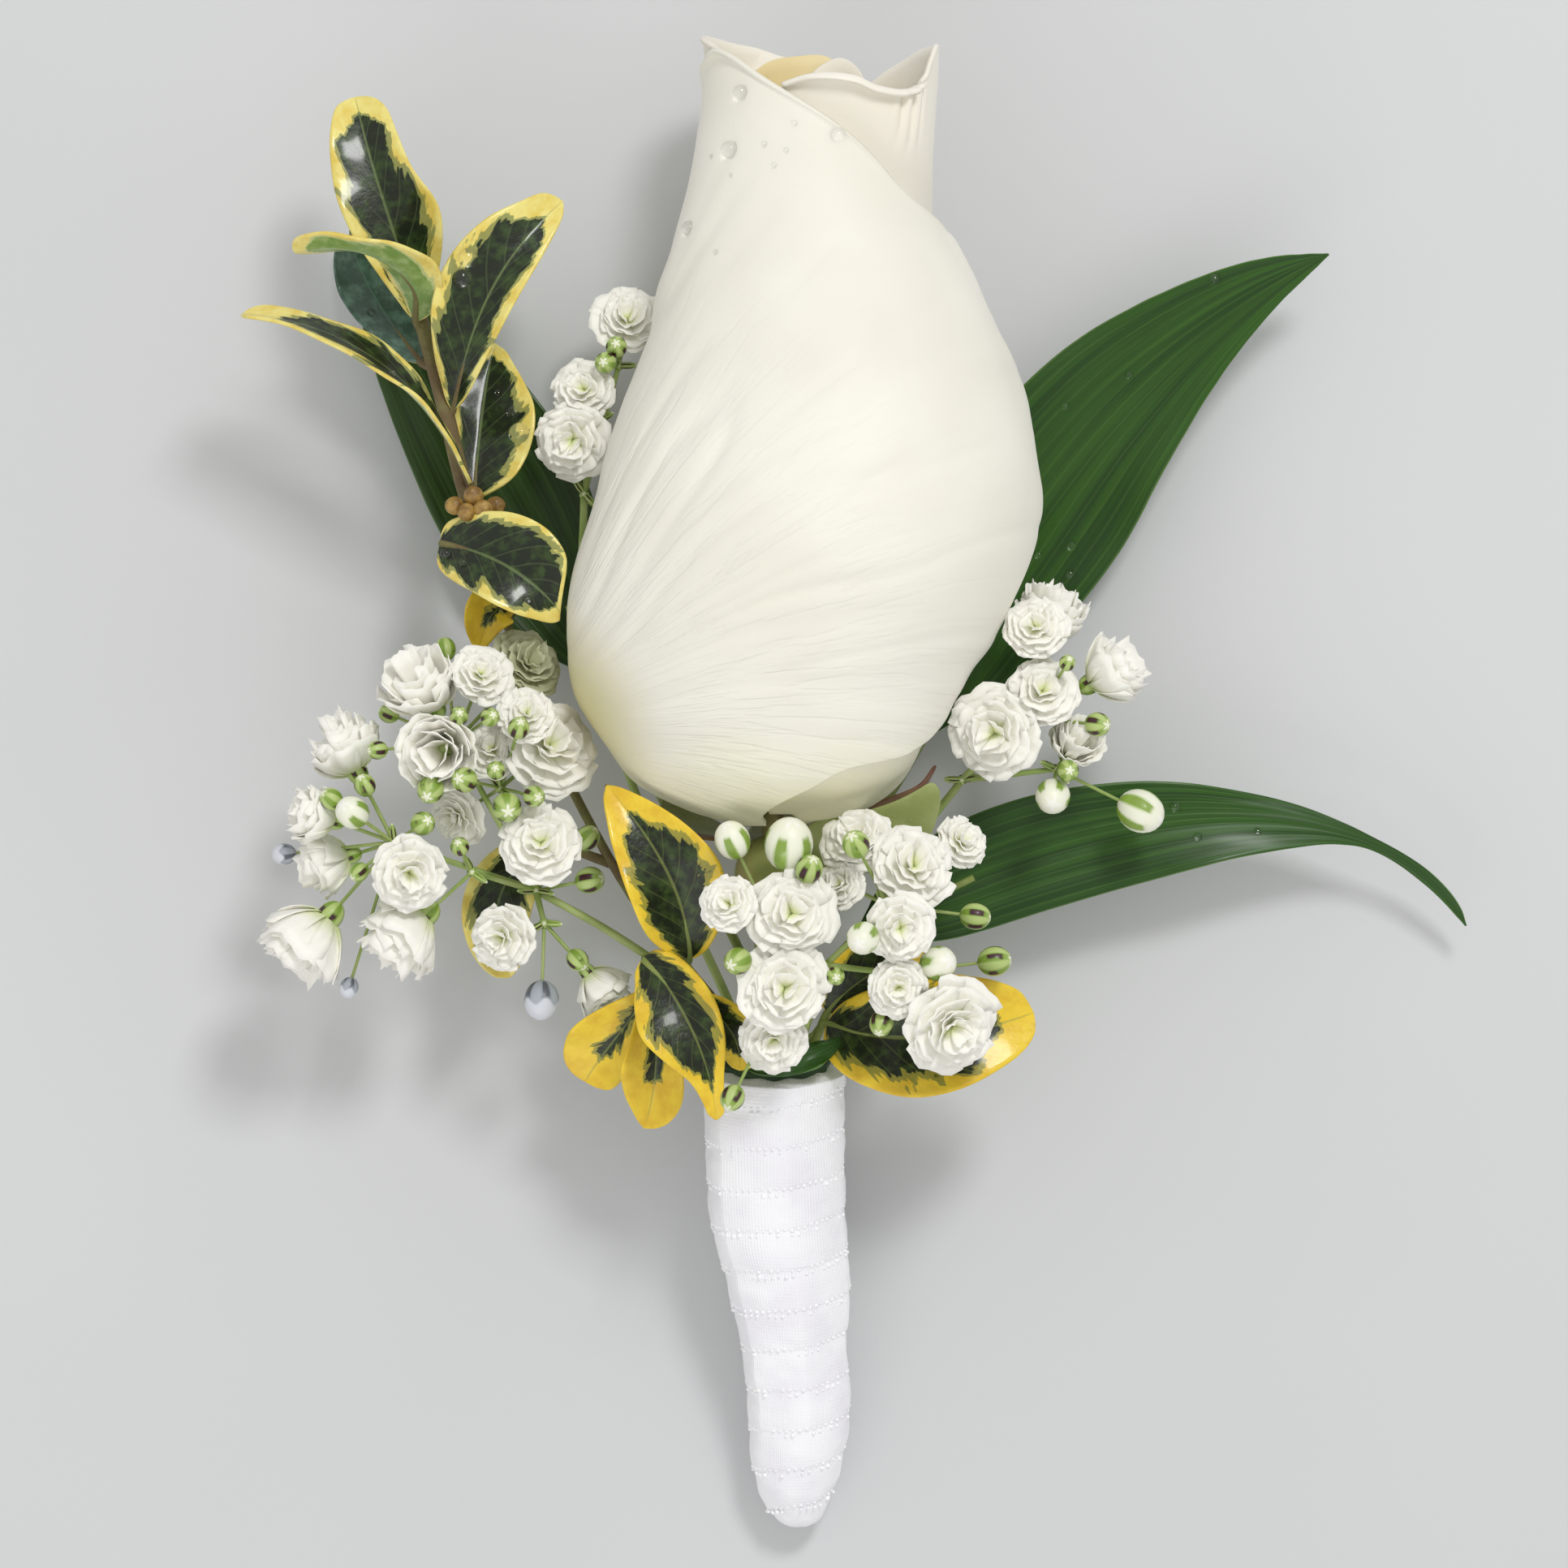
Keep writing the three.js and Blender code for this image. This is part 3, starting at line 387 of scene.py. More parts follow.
def piece_of(
    bm: BMesh,
    name: str,
    materials: Sequence[Material],
    slot: Slot | None,
    nodes: Sequence[str] = (),
    shell: Shell | None = None,
) -> bpy.types.Object:
    """Turns a mesh in millimetres into a piece that rides with the part.

    Args:
        bm: The finished mesh; it is freed.
        name: The piece's name.
        materials: Its materials in order of index.
        slot: The record's slot; not used.
        nodes: The solids it stands for.
        shell: The wall it gets, if it is a sheet.

    Returns:
        The new object.
    """
    if shell is None:
        bmesh.ops.recalc_face_normals(bm, faces=bm.faces)
    elif shell.thickness > HOLDS_DEW:
        Tops.keep(bm)
    bmesh.ops.scale(bm, vec=(MM, MM, MM), verts=bm.verts)
    mesh = mesh_of(bm, name)
    obj = placed(name, mesh)
    for material in materials:
        mesh.materials.append(material)
    if shell is not None:
        wall = obj.modifiers.new("wall", "SOLIDIFY")
        wall.thickness = shell.thickness * MM
        wall.offset = 0
        wall.use_even_offset = False
        if shell.back_material:
            wall.material_offset = 1
            wall.material_offset_rim = 0
        if shell.subdivisions:
            smooth = obj.modifiers.new("smooth", "SUBSURF")
            smooth.levels = smooth.render_levels = shell.subdivisions
    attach(obj, BODY)
    if nodes:
        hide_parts(*nodes)
    LOG.info("%s: %d faces", name, len(mesh.polygons))
    return obj


# ---------------------------------------------------------------- finishes


def tint(code: str) -> Quad:
    """A colour as the shader wants it.

    Args:
        code: The colour as #rrggbb.

    Returns:
        Linear red, green, blue and alpha.
    """
    parts = [int(code[k : k + 2], 16) / 255 for k in (1, 3, 5)]
    line = [p / 12.92 if p <= 0.04045 else ((p + 0.055) / 1.055) ** 2.4 for p in parts]
    return (*line, 1.0)


class Bench:
    """One material and the nodes that feed its shader."""

    def __init__(self, name: str, **constants: object) -> None:
        """Starts a material.

        Args:
            name: Its name.
            constants: Values set on the shader's own sockets.
        """
        self.material = bpy.data.materials.new(name)
        self.material.use_nodes = True
        self.tree = self.material.node_tree
        self.shader = self.tree.nodes["Principled BSDF"]
        for key, value in constants.items():
            self.shader.inputs[key.replace("_", " ")].default_value = value

    def add(self, kind: str, feeds: dict | None = None, **settings: object) -> object:
        """Adds a node.

        Args:
            kind: Its type after ShaderNode.
            feeds: Values or sockets for its inputs.
            settings: Its own properties.

        Returns:
            The node.
        """
        node = self.tree.nodes.new("ShaderNode" + kind)
        for key, value in settings.items():
            setattr(node, key, value)
        for key, value in (feeds or {}).items():
            if isinstance(value, Socket):
                self.tree.links.new(value, node.inputs[key])
            else:
                node.inputs[key].default_value = value
        return node

    def math(self, operation: str, a: object, b: object = 0.0) -> Socket:
        """One sum on two numbers; returns its result."""
        return self.add("Math", {0: a, 1: b}, operation=operation).outputs[0]

    def times(self, a: object, b: object) -> Socket:
        """The product of two numbers."""
        return self.math("MULTIPLY", a, b)

    def plus(self, a: object, b: object) -> Socket:
        """The sum of two numbers."""
        return self.math("ADD", a, b)

    def less(self, a: object, b: object) -> Socket:
        """The first number less the second."""
        return self.math("SUBTRACT", a, b)

    def rest(self, share: Socket) -> Socket:
        """What a share leaves of 1."""
        return self.less(1.0, share)

    def gap(self, a: object, b: object) -> Socket:
        """How far apart two numbers are."""
        return self.math("ABSOLUTE", self.less(a, b))

    def wave(self, number: Socket, speed: float) -> Socket:
        """The sine of a number that grows at a speed."""
        return self.math("SINE", self.times(number, speed))

    def mix(self, share: object, a: object, b: object) -> Socket:
        """A blend of two colours; returns the colour."""
        node = self.add("Mix", {0: share, 6: a, 7: b}, data_type="RGBA")
        return node.outputs[2]

    def step(self, value: object, low: float, high: float) -> Socket:
        """0 below low and 1 above high, smoothly; returns the number."""
        node = self.add(
            "MapRange",
            {0: value, 1: low, 2: high, 3: 0.0, 4: 1.0},
            interpolation_type="SMOOTHSTEP",
        )
        return node.outputs[0]

    def noise(
        self, vector: Socket, scale: float, detail: float = 2.0, rough: float = 0.5
    ) -> Socket:
        """Cloudy noise; returns the number."""
        feeds = {"Vector": vector, "Scale": scale, "Detail": detail, "Roughness": rough}
        return self.add("TexNoise", feeds).outputs[0]

    def clouds(self, pattern: Socket, low: float, high: float, a: str, b: str) -> Socket:
        """One colour below low in a pattern and another above high; returns the colour."""
        return self.mix(self.step(pattern, low, high), tint(a), tint(b))

    def place(self) -> Socket:
        """The object's own coordinates in millimetres."""
        feeds = {0: self.add("TexCoord").outputs["Object"], "Scale": 1 / MM}
        return self.add("VectorMath", feeds, operation="SCALE").outputs[0]

    def spread(self) -> tuple[Socket, Socket]:
        """u and v of the piece's own UV map."""
        parts = self.add("SeparateXYZ", {0: self.add("UVMap").outputs[0]})
        return parts.outputs[0], parts.outputs[1]

    def vector(self, x: object, y: object, z: object = 0.0) -> Socket:
        """A vector from three numbers."""
        return self.add("CombineXYZ", {0: x, 1: y, 2: z}).outputs[0]

    def stretched(self, x: Socket, by_x: float, y: Socket, by_y: float) -> Socket:
        """A vector from two numbers, each stretched on its own."""
        return self.vector(self.times(x, by_x), self.times(y, by_y))

    def bump(self, height: Socket, strength: float, depth: float) -> None:
        """Raises the surface by a pattern.

        Args:
            height: The pattern, from 0 to 1.
            strength: How much of it shows.
            depth: Its depth in millimetres.
        """
        node = self.add(
            "Bump", {"Strength": strength, "Distance": depth * MM, "Height": height}
        )
        self.tree.links.new(node.outputs[0], self.shader.inputs["Normal"])

    def feed(self, name: str, socket: Socket) -> None:
        """Wires a socket to the shader."""
        self.tree.links.new(socket, self.shader.inputs[name])


@dataclass(frozen=True)
class PetalFinish:
    """A rose petal: pale, a little translucent, with fine creases that fan from its claw."""

    name: str
    body: str
    shade: str
    foot: str
    claw: str = "#c4ba72"
    foot_end: float = 0.26
    crease: float = 0.6

    def material(self) -> Material:
        """Builds the material.

        Returns:
            The new material.
        """
        bench = Bench(
            self.name,
            Roughness=0.52,
            IOR=1.4,
            Subsurface_Weight=0.08,
            Subsurface_Scale=0.0012,
            Subsurface_Radius=(1.0, 0.9, 0.75),
            Sheen_Weight=0.12,
            Sheen_Roughness=0.5,
        )
        place = bench.place()
        along = bench.spread()[1]
        split = bench.add("SeparateXYZ", {0: place})
        x = bench.less(split.outputs[0], FAN[0])
        y = bench.less(split.outputs[1], FAN[1])
        far = bench.math("POWER", x, 2.0)
        far = bench.math("SQRT", bench.plus(far, bench.math("POWER", y, 2.0)))
        bent = bench.times(far, FAN_BEND)
        turn = bench.plus(bench.math("ARCTAN2", y, x), bent)
        creases = bench.noise(bench.stretched(turn, 15.0, far, 0.07), 1.0, 3.0, 0.55)
        ridge = bench.gap(creases, 0.5)
        ridge = bench.step(ridge, 0.0, 0.07)
        fade = bench.rest(bench.step(far, 16.0, 50.0))
        fade = bench.times(fade, bench.step(far, 6.0, 14.0))
        tissue = bench.noise(place, 2.2, 3.0)
        relief = bench.times(bench.less(ridge, 1.0), fade)
        relief = bench.times(relief, self.crease)
        height = bench.plus(relief, bench.times(tissue, 0.2))
        bench.bump(height, 0.5, 0.13)
        colour = bench.clouds(bench.noise(place, 0.07), 0.35, 0.7, self.body, self.shade)
        low = bench.plus(along, bench.times(bench.noise(place, 0.2), 0.1))
        foot = bench.rest(bench.step(low, 0.06, self.foot_end))
        claw = bench.rest(bench.step(far, 4.0, 11.5))
        colour = bench.mix(foot, colour, tint(self.foot))
        colour = bench.mix(bench.times(claw, 0.9), colour, tint(self.claw))
        bench.feed("Base Color", colour)
        return bench.material


@dataclass(frozen=True)
class LeafFinish:
    """A long ribbed leaf: dark, waxy, with fine veins along it."""

    name: str
    deep: str
    light: str
    vein: str
    roughness: float = 0.36

    def material(self) -> Material:
        """Builds the material.

        Returns:
            The new material.
        """
        bench = Bench(
            self.name,
            Roughness=self.roughness,
            IOR=1.34,
            Coat_Weight=0.15,
            Coat_Roughness=0.2,
        )
        across, along = bench.spread()
        wander = bench.noise(bench.vector(across, along), 3.0)
        wander = bench.plus(across, bench.times(wander, 0.03))
        lines = bench.wave(wander, 13 * TAU)
        veins = bench.step(lines, 0.72, 1.0)
        pleats = bench.wave(wander, 5 * TAU)
        grain = bench.noise(bench.stretched(across, 70.0, along, 4.0), 1.0, 3.0)
        streaks = bench.noise(bench.stretched(across, 11.0, along, 1.6), 1.0, 3.0, 0.6)
        colour = bench.clouds(streaks, 0.36, 0.64, self.deep, self.light)
        strong = bench.times(veins, bench.times(grain, 0.26))
        colour = bench.mix(strong, colour, tint(self.vein))
        colour = bench.mix(bench.times(grain, 0.4), colour, tint(self.deep))
        far = bench.gap(across, 0.5)
        rim = bench.times(bench.step(far, 0.48, 0.5), 0.5)
        colour = bench.mix(rim, colour, tint(self.vein))
        bench.feed("Base Color", colour)
        height = bench.times(veins, 0.35)
        height = bench.plus(height, bench.times(grain, 0.4))
        height = bench.plus(height, bench.times(pleats, 0.5))
        bench.bump(height, 0.35, 0.12)
        return bench.material


@dataclass(frozen=True)
class VariegatedFinish:
    """A leaf with a jagged dark middle, a paler zone round it and a cream or yellow margin."""

    name: str
    deep: str
    middle: str
    margin: str
    margin_shade: str
    rib: str
    width: float = 0.29
    tip: float = 0.2
    jag: float = 0.9
    roughness: float = 0.34
    coat: float = 0.38

    def material(self) -> Material:
        """Builds the material.

        Returns:
            The new material.
        """
        bench = Bench(
            self.name,
            Roughness=self.roughness,
            IOR=1.34,
            Coat_Weight=self.coat,
            Coat_Roughness=0.1,
        )
        place = bench.place()
        across, along = bench.spread()
        twice = bench.times(across, 2.0)
        side = bench.gap(twice, 1.0)
        inside = bench.rest(side)
        own = bench.noise(place, 0.03)
        slant = bench.less(along, bench.times(side, 0.25))
        jagged = bench.vector(twice, bench.times(slant, 7.5), bench.times(own, 30.0))
        jag = bench.noise(jagged, 1.0, 3.0, 0.6)
        jag = bench.times(bench.less(jag, 0.5), self.jag)
        tip = bench.times(bench.step(along, 1 - self.tip, 1.0), 1.5)
        edge = bench.less(bench.plus(inside, jag), tip)
        core = bench.step(edge, self.width, self.width + 0.04)
        zone = bench.step(edge, self.width - 0.13, self.width - 0.09)
        green = bench.clouds(bench.noise(place, 1.1, 4.0), 0.4, 0.75, self.deep, self.middle)
        rib = bench.rest(bench.step(side, 0.015, 0.05))
        lines = bench.wave(slant, 62.0)
        veins = bench.step(lines, 0.92, 1.0)
        green = bench.mix(bench.times(veins, 0.14), green, tint(self.rib))
        warm = bench.noise(place, 0.7, 3.0)
        margin = bench.clouds(warm, 0.35, 0.7, self.margin, self.margin_shade)
        between = bench.mix(0.5, tint(self.middle), tint(self.rib))
        colour = bench.mix(bench.times(zone, 0.75), margin, between)
        colour = bench.mix(core, colour, green)
        colour = bench.mix(bench.times(rib, 0.45), colour, tint(self.rib))
        bench.feed("Base Color", colour)
        height = bench.times(veins, 0.25)
        height = bench.plus(height, bench.noise(place, 2.2, 3.0))
        height = bench.less(height, bench.times(rib, 0.9))
        bench.bump(height, 0.32, 0.16)
        return bench.material


@dataclass(frozen=True)
class PlainFinish:
    """One clouded colour with a fine grain, for stems, undersides, buds and tape."""

    name: str
    body: str
    shade: str
    roughness: float = 0.55
    cloud: float = 0.35
    grain: float = 3.0
    relief: float = 0.1
    sheen: float = 0.0

    def material(self) -> Material:
        """Builds the material.

        Returns:
            The new material.
        """
        bench = Bench(self.name, Roughness=self.roughness, Sheen_Weight=self.sheen)
        place = bench.place()
        cloud = bench.noise(place, self.cloud, 3.0)
        bench.feed("Base Color", bench.clouds(cloud, 0.35, 0.68, self.body, self.shade))
        bench.bump(bench.noise(place, self.grain, 4.0), 0.6, self.relief)
        return bench.material


@dataclass(frozen=True)
class BlossomFinish:
    """Thin white petals, a little green where they meet."""

    name: str
    body: str
    heart: str

    def material(self) -> Material:
        """Builds the material.

        Returns:
            The new material.
        """
        bench = Bench(
            self.name,
            Roughness=0.6,
            Subsurface_Weight=0.08,
            Subsurface_Scale=0.0006,
            Subsurface_Radius=(1.0, 0.95, 0.85),
            Sheen_Weight=0.1,
        )
        place = bench.place()
        across, along = bench.spread()
        deep = bench.rest(bench.step(along, 0.1, 0.62))
        colour = bench.mix(bench.times(deep, 0.75), tint(self.body), tint(self.heart))
        bench.feed("Base Color", colour)
        lines = bench.wave(across, 38.0)
        height = bench.plus(bench.times(lines, 0.25), bench.noise(place, 2.5))
        bench.bump(height, 0.3, 0.05)
        return bench.material


@dataclass(frozen=True)
class CalyxFinish:
    """A small green cup with five dark spots round it and a white tip."""

    name: str
    green: str
    pale: str
    spot: str
    tip: str
    tip_start: float = 0.62
    reach: float = 1.2

    def material(self) -> Material:
        """Builds the material.

        Returns:
            The new material.
        """
        bench = Bench(self.name, Roughness=0.42, Coat_Weight=0.1)
        place = bench.place()
        across, along = bench.spread()
        lobes = bench.math("COSINE", bench.times(across, 5 * TAU))
        ribs = bench.step(lobes, -0.6, 0.6)
        fading = bench.step(along, self.reach * 0.5, self.reach)
        ribs = bench.times(ribs, bench.rest(fading))
        colour = bench.mix(ribs, tint(self.pale), tint(self.green))
        rise = bench.plus(along, bench.times(lobes, 0.06))
        tipped = bench.step(rise, self.tip_start, self.tip_start + 0.08)
        colour = bench.mix(tipped, colour, tint(self.tip))
        band = bench.gap(along, self.tip_start * 0.62)
        band = bench.rest(bench.step(band, 0.12, 0.2))
        spots = bench.times(bench.step(lobes, 0.25, 0.55), band)
        chance = bench.step(bench.noise(place, 0.5), 0.4, 0.48)
        colour = bench.mix(bench.times(spots, chance), colour, tint(self.spot))
        bench.feed("Base Color", colour)
        bench.bump(bench.noise(place, 4.0), 0.3, 0.05)
        return bench.material


@dataclass(frozen=True)
class SatinFinish:
    """White satin: a fine close weave with a soft shine across it."""

    name: str
    body: str
    shade: str

    def material(self) -> Material:
        """Builds the material.

        Returns:
            The new material.
        """
        bench = Bench(
            self.name,
            Roughness=0.45,
            Anisotropic=0.5,
            Sheen_Weight=0.25,
            Sheen_Roughness=0.35,
        )
        place = bench.place()
        across, along = bench.spread()
        warp = bench.wave(along, 150 * TAU)
        weft = bench.wave(across, 130 * TAU)
        weave = bench.plus(bench.times(warp, 0.5), weft)
        crumple = bench.noise(bench.stretched(across, 9.0, along, 22.0), 1.0, 4.0, 0.6)
        height = bench.plus(bench.times(weave, 0.06), crumple)
        bench.bump(height, 0.55, 0.3)
        cloud = bench.noise(place, 0.22)
        bench.feed("Base Color", bench.clouds(cloud, 0.35, 0.7, self.body, self.shade))
        return bench.material


@dataclass(frozen=True)
class DewFinish:
    """Clear water."""

    name: str

    def material(self) -> Material:
        """Builds the material.

        Returns:
            The new material.
        """
        water = {"Roughness": 0.0, "IOR": 1.45, "Transmission_Weight": 1.0}
        return Bench(self.name, **water, Specular_IOR_Level=1.0).material


# ---------------------------------------------------------------- rosebud


@dataclass(frozen=True)
class Bud:
    """The rosebud's outline: round slices along a bent axis, flattened where it lies."""

    foot_y: float = -2.8
    axis_z: float = 15.2
    height: float = 58.4
    radii: Profile = Profile(
        [(0, 2.6), (0.5, 4.6), (1, 6.3), (2.4, 9.1), (3.8, 10.8), (5.9, 12.2)]
        + [(9.4, 14.1), (14.5, 15.9), (19, 16.75), (22.4, 16.7), (28.3, 15.7)]
        + [(33.2, 14.2), (39.6, 11.9), (42.8, 10.4), (46, 9.4), (49, 8.95)]
        + [(53, 8.7), (58.4, 8.8)]
    )
    centres: Profile = Profile(
        [(0, -6.5), (5, -6.5), (10, -6.9), (15, -5.7), (20, -4.2), (25, -3.2)]
        + [(33, -2.7), (40, -3.2), (46, -3.8), (53, -3.1), (58.4, -2.8)]
    )

    def point(
        self, angle: float, height: float, inward: float, floor: float | None = None
    ) -> Vector:
        """A point inside the outline.

        Args:
            angle: 0 faces up and 90 faces +X, in degrees.
            height: Distance from the foot along the bud.
            inward: How far inside the outline.
            floor: The lowest it may lie, or None for inward.

        Returns:
            The point.
        """
        step = 0.05
        low = max(height - step, 0.0)
        slope = (self.radii(low + 2 * step) - self.radii(low)) / (2 * step)
        lean = 1 / math.hypot(1, slope)
        radius = self.radii(height) - inward * lean
        turn = math.radians(angle)
        least = inward if floor is None else floor
        return Vector(
            (
                self.centres(height) + radius * math.sin(turn),
                self.foot_y + height + inward * slope * lean,
                max(self.axis_z + radius * math.cos(turn), least),
            )
        )

    def clear(self, place: Vector, margin: float, floor: float = 0.32) -> Vector:
        """Moves a point out of the bud and above the table.

        Args:
            place: The point.
            margin: The room it keeps.
            floor: The lowest it may lie.

        Returns:
            The moved point.
        """
        height = place.y - self.foot_y
        moved = place.copy()
        moved.z = max(moved.z, floor)
        if height < -margin or height > self.height + margin:
            return moved
        x, z = place.x - self.centres(height), moved.z - self.axis_z
        near = max(math.hypot(x, z), 1e-6)
        wanted = self.radii(max(height, 0.0)) + margin
        if near >= wanted:
            return moved
        moved.z = max(self.axis_z + z / near * wanted, floor)
        aside = math.sqrt(max(wanted**2 - (moved.z - self.axis_z) ** 2, 0.0))
        moved.x = self.centres(height) + math.copysign(aside, x)
        return moved


@dataclass(frozen=True)
class Petal:
    """One petal: its side edges by height, its rim by angle, and how its rim rolls out."""

    node: str
    left: Profile
    right: Profile
    rim: Profile
    roll: Profile
    roll_length: Profile
    columns: int = 110
    rows: int = 90


@dataclass
class Rose:
    """The rosebud: five petals that wrap one another round a closed heart."""

    bud: Bud = Bud()
    thickness: float = 0.4
    layer: float = 0.9
    low: float = 29.0
    creases: tuple[Triple, ...] = ((5.4, 0.27, 0.12), (9.5, 0.18, 0.16))
    heart_depth: float = 6.55
    furl_turns: Profile = Profile([(0, -60), (0.1, 0), (0.24, 95), (0.6, 430), (1, 830)])
    furl_depths: Profile = Profile([(0, 2.9), (0.1, 3.5), (0.24, 5.5), (0.6, 7.0), (1, 8.3)])
    petals: tuple[Petal, ...] = (
        Petal(
            "rose_petal_front",
            Profile([(0, -60), (3, -85), (5, -110), (9, -138), (14, -150)]),
            Profile(
                [(0.5, -10), (2.7, 16), (4.3, 31), (5.3, 58), (8.3, 82), (13, 92)]
                + [(20, 97)]
            ),
            Profile(
                [(-150, 41), (-120, 51), (-95, 55.3), (-70, 56.6), (-57, 56.9)]
                + [(-30, 54.7), (-6, 52.7), (26, 49.4), (52, 46.1), (80, 44)]
                + [(97, 42.5)]
            ),
            Profile([(-150, 15), (-95, 40), (-75, 62), (-60, 80), (-45, 70), (-20, 50), (97, 45)]),
            Profile([(-150, 0.6), (-80, 0.9), (-60, 1.1), (-35, 0.7), (97, 0.6)]),
            columns=220,
            rows=200,
        ),
        Petal(
            "rose_petal_right",
            Profile([(0, -5), (6, -14), (16, -20)]),
            Profile([(0, 140), (3, 170), (6, 200), (10, 220), (16, 230)]),
            Profile(
                [(-20, 54.2), (-5, 54.7), (15, 54.6), (27, 54), (45, 53.8)]
                + [(60, 54.6), (70, 56.6), (79, 57.6), (118, 57.6), (133, 57)]
                + [(145, 56.3), (154, 55.4), (180, 53.5), (210, 50), (230, 46)]
            ),
            Profile([(-20, 90), (0, 150), (45, 150), (58, 60), (75, 35), (100, 30), (230, 25)]),
            Profile([(-20, 1.2), (0, 1.6), (45, 1.5), (60, 0.7), (90, 0.7), (230, 0.7)]),
            columns=180,
            rows=110,
        ),
        Petal(
            "rose_petal_left_back",
            Profile([(0, -160), (4, -180), (10, -200)]),
            Profile([(0, -75), (6, -52), (12, -45)]),
            Profile(
                [(-200, 53), (-190, 54.5), (-180, 56.4), (-172, 57), (-159, 57.3)]
                + [(-148, 58), (-132, 58.2), (-97, 58.4), (-80, 57.8), (-65, 56)]
                + [(-45, 53.5)]
            ),
            Profile([(-200, 20), (-150, 40), (-110, 50), (-80, 50), (-45, 30)]),
            Profile([(-200, 0.7), (-110, 0.9), (-80, 0.9), (-45, 0.6)]),
        ),
        Petal(
            "rose_petal_inner_back",
            Profile([(0, -220), (10, -250)]),
            Profile([(0, -100), (10, -60)]),
            Profile(
                [(-250, 52), (-210, 55.5), (-185, 57), (-165, 57.2)]
                + [(-140, 56.8), (-100, 55), (-60, 52)]
            ),
            Profile([(-250, 25), (-60, 25)]),
            Profile([(-250, 0.8), (-60, 0.8)]),
            columns=70,
            rows=50,
        ),
        Petal(
            "rose_petal_inner_right",
            Profile([(0, 110), (10, 90)]),
            Profile([(0, 200), (10, 230)]),
            Profile(
                [(90, 53), (130, 55.8), (150, 56.6), (165, 56.8), (185, 56)]
                + [(230, 52)]
            ),
            Profile([(90, 25), (230, 25)]),
            Profile([(90, 0.8), (230, 0.8)]),
            columns=70,
            rows=50,
        ),
    )

    def cover(
        self, petal: Petal, angle: float, height: float, margin: float, fade: float
    ) -> float:
        """How far a petal covers what lies under it.

        Args:
            petal: The covering petal.
            angle: Where, in degrees.
            height: Where, along the bud.
            margin: Extra reach past its rim.
            fade: The length over which it eases out.

        Returns:
            1 under the petal, easing to 0 past its edges.
        """
        side_ease, side_margin, reach = 36.0, 12.0, 3.4
        middle = (petal.left(PAST_RIM) + petal.right(PAST_RIM)) / 2
        turned = middle + (angle - middle + 180) % 360 - 180
        under_rim = (petal.rim(turned) + margin + fade - height) / fade
        shares = []
        for shift in (-reach, 0.0, reach):
            right = petal.right(height + shift) + side_margin + side_ease - turned
            left = turned - petal.left(height + shift) + side_margin + side_ease
            shares.append(min(right / side_ease, left / side_ease, under_rim))
        return ease(max(shares))

    def inward(self, index: int, angle: float, height: float) -> float:
        """How far a petal's outer face lies inside the bud's outline.

        Args:
            index: The petal's place in the list.
            angle: Where, in degrees.
            height: Where, along the bud.

        Returns:
            The depth.
        """
        front, right = self.petals[:2]
        behind, tuck_start, tuck_span = 155, 165, 36
        from_right = angle + 360 if angle < -75 else angle
        if index == 0:
            return 0.0
        if index == 1 and from_right > behind:
            return self.layer * ease((from_right - tuck_start) / tuck_span)
        if index == 1:
            return self.layer * self.cover(front, angle, height, 0.6, 4.0)
        if index > 2:
            return 1.28 * index - 0.4
        under_right = self.cover(right, angle, height, 3.5, 5.0)
        under_front = self.layer * self.cover(front, angle, height, 0.3, 2.0)
        below = self.inward(1, angle, height) + self.layer + 0.1
        return lerp(under_front, below, under_right)

    def crease(self, place: Vector) -> float:
        """How deep the fine creases that fan from the petal's lower left are at a place.

        Args:
            place: A point on the petal.

        Returns:
            The depth, in millimetres.
        """
        x, y = place.x - FAN[0], place.y - FAN[1]
        far = math.hypot(x, y)
        turn = math.atan2(y, x) + FAN_BEND * far
        depth = 0.0
        near = max(1.0, 20 / max(far, 1.0))
        for finer, deep, wide in self.creases:
            wander = noise.noise(Vector((turn * finer, far * 0.045, finer)))
            depth += deep * math.exp(-((wander / (wide * near)) ** 2))
        broad = 0.14 * noise.noise(Vector((turn * 3, far * 0.05, 7.7)))
        fade = ease((far - 5) / 8) * (1 - 0.8 * ease((far - 24) / 26)) * ease(turn / 0.25)
        return depth * fade + broad * ease(far / 12)

    def petal_mesh(self, index: int) -> BMesh:
        """One petal's sheet, creased and rolled at its rim.

        Args:
            index: The petal's place in the list.

        Returns:
            The mesh.
        """
        petal = self.petals[index]
        bud = self.bud
        half = self.thickness / 2
        foot, body = 0.46, 0.82

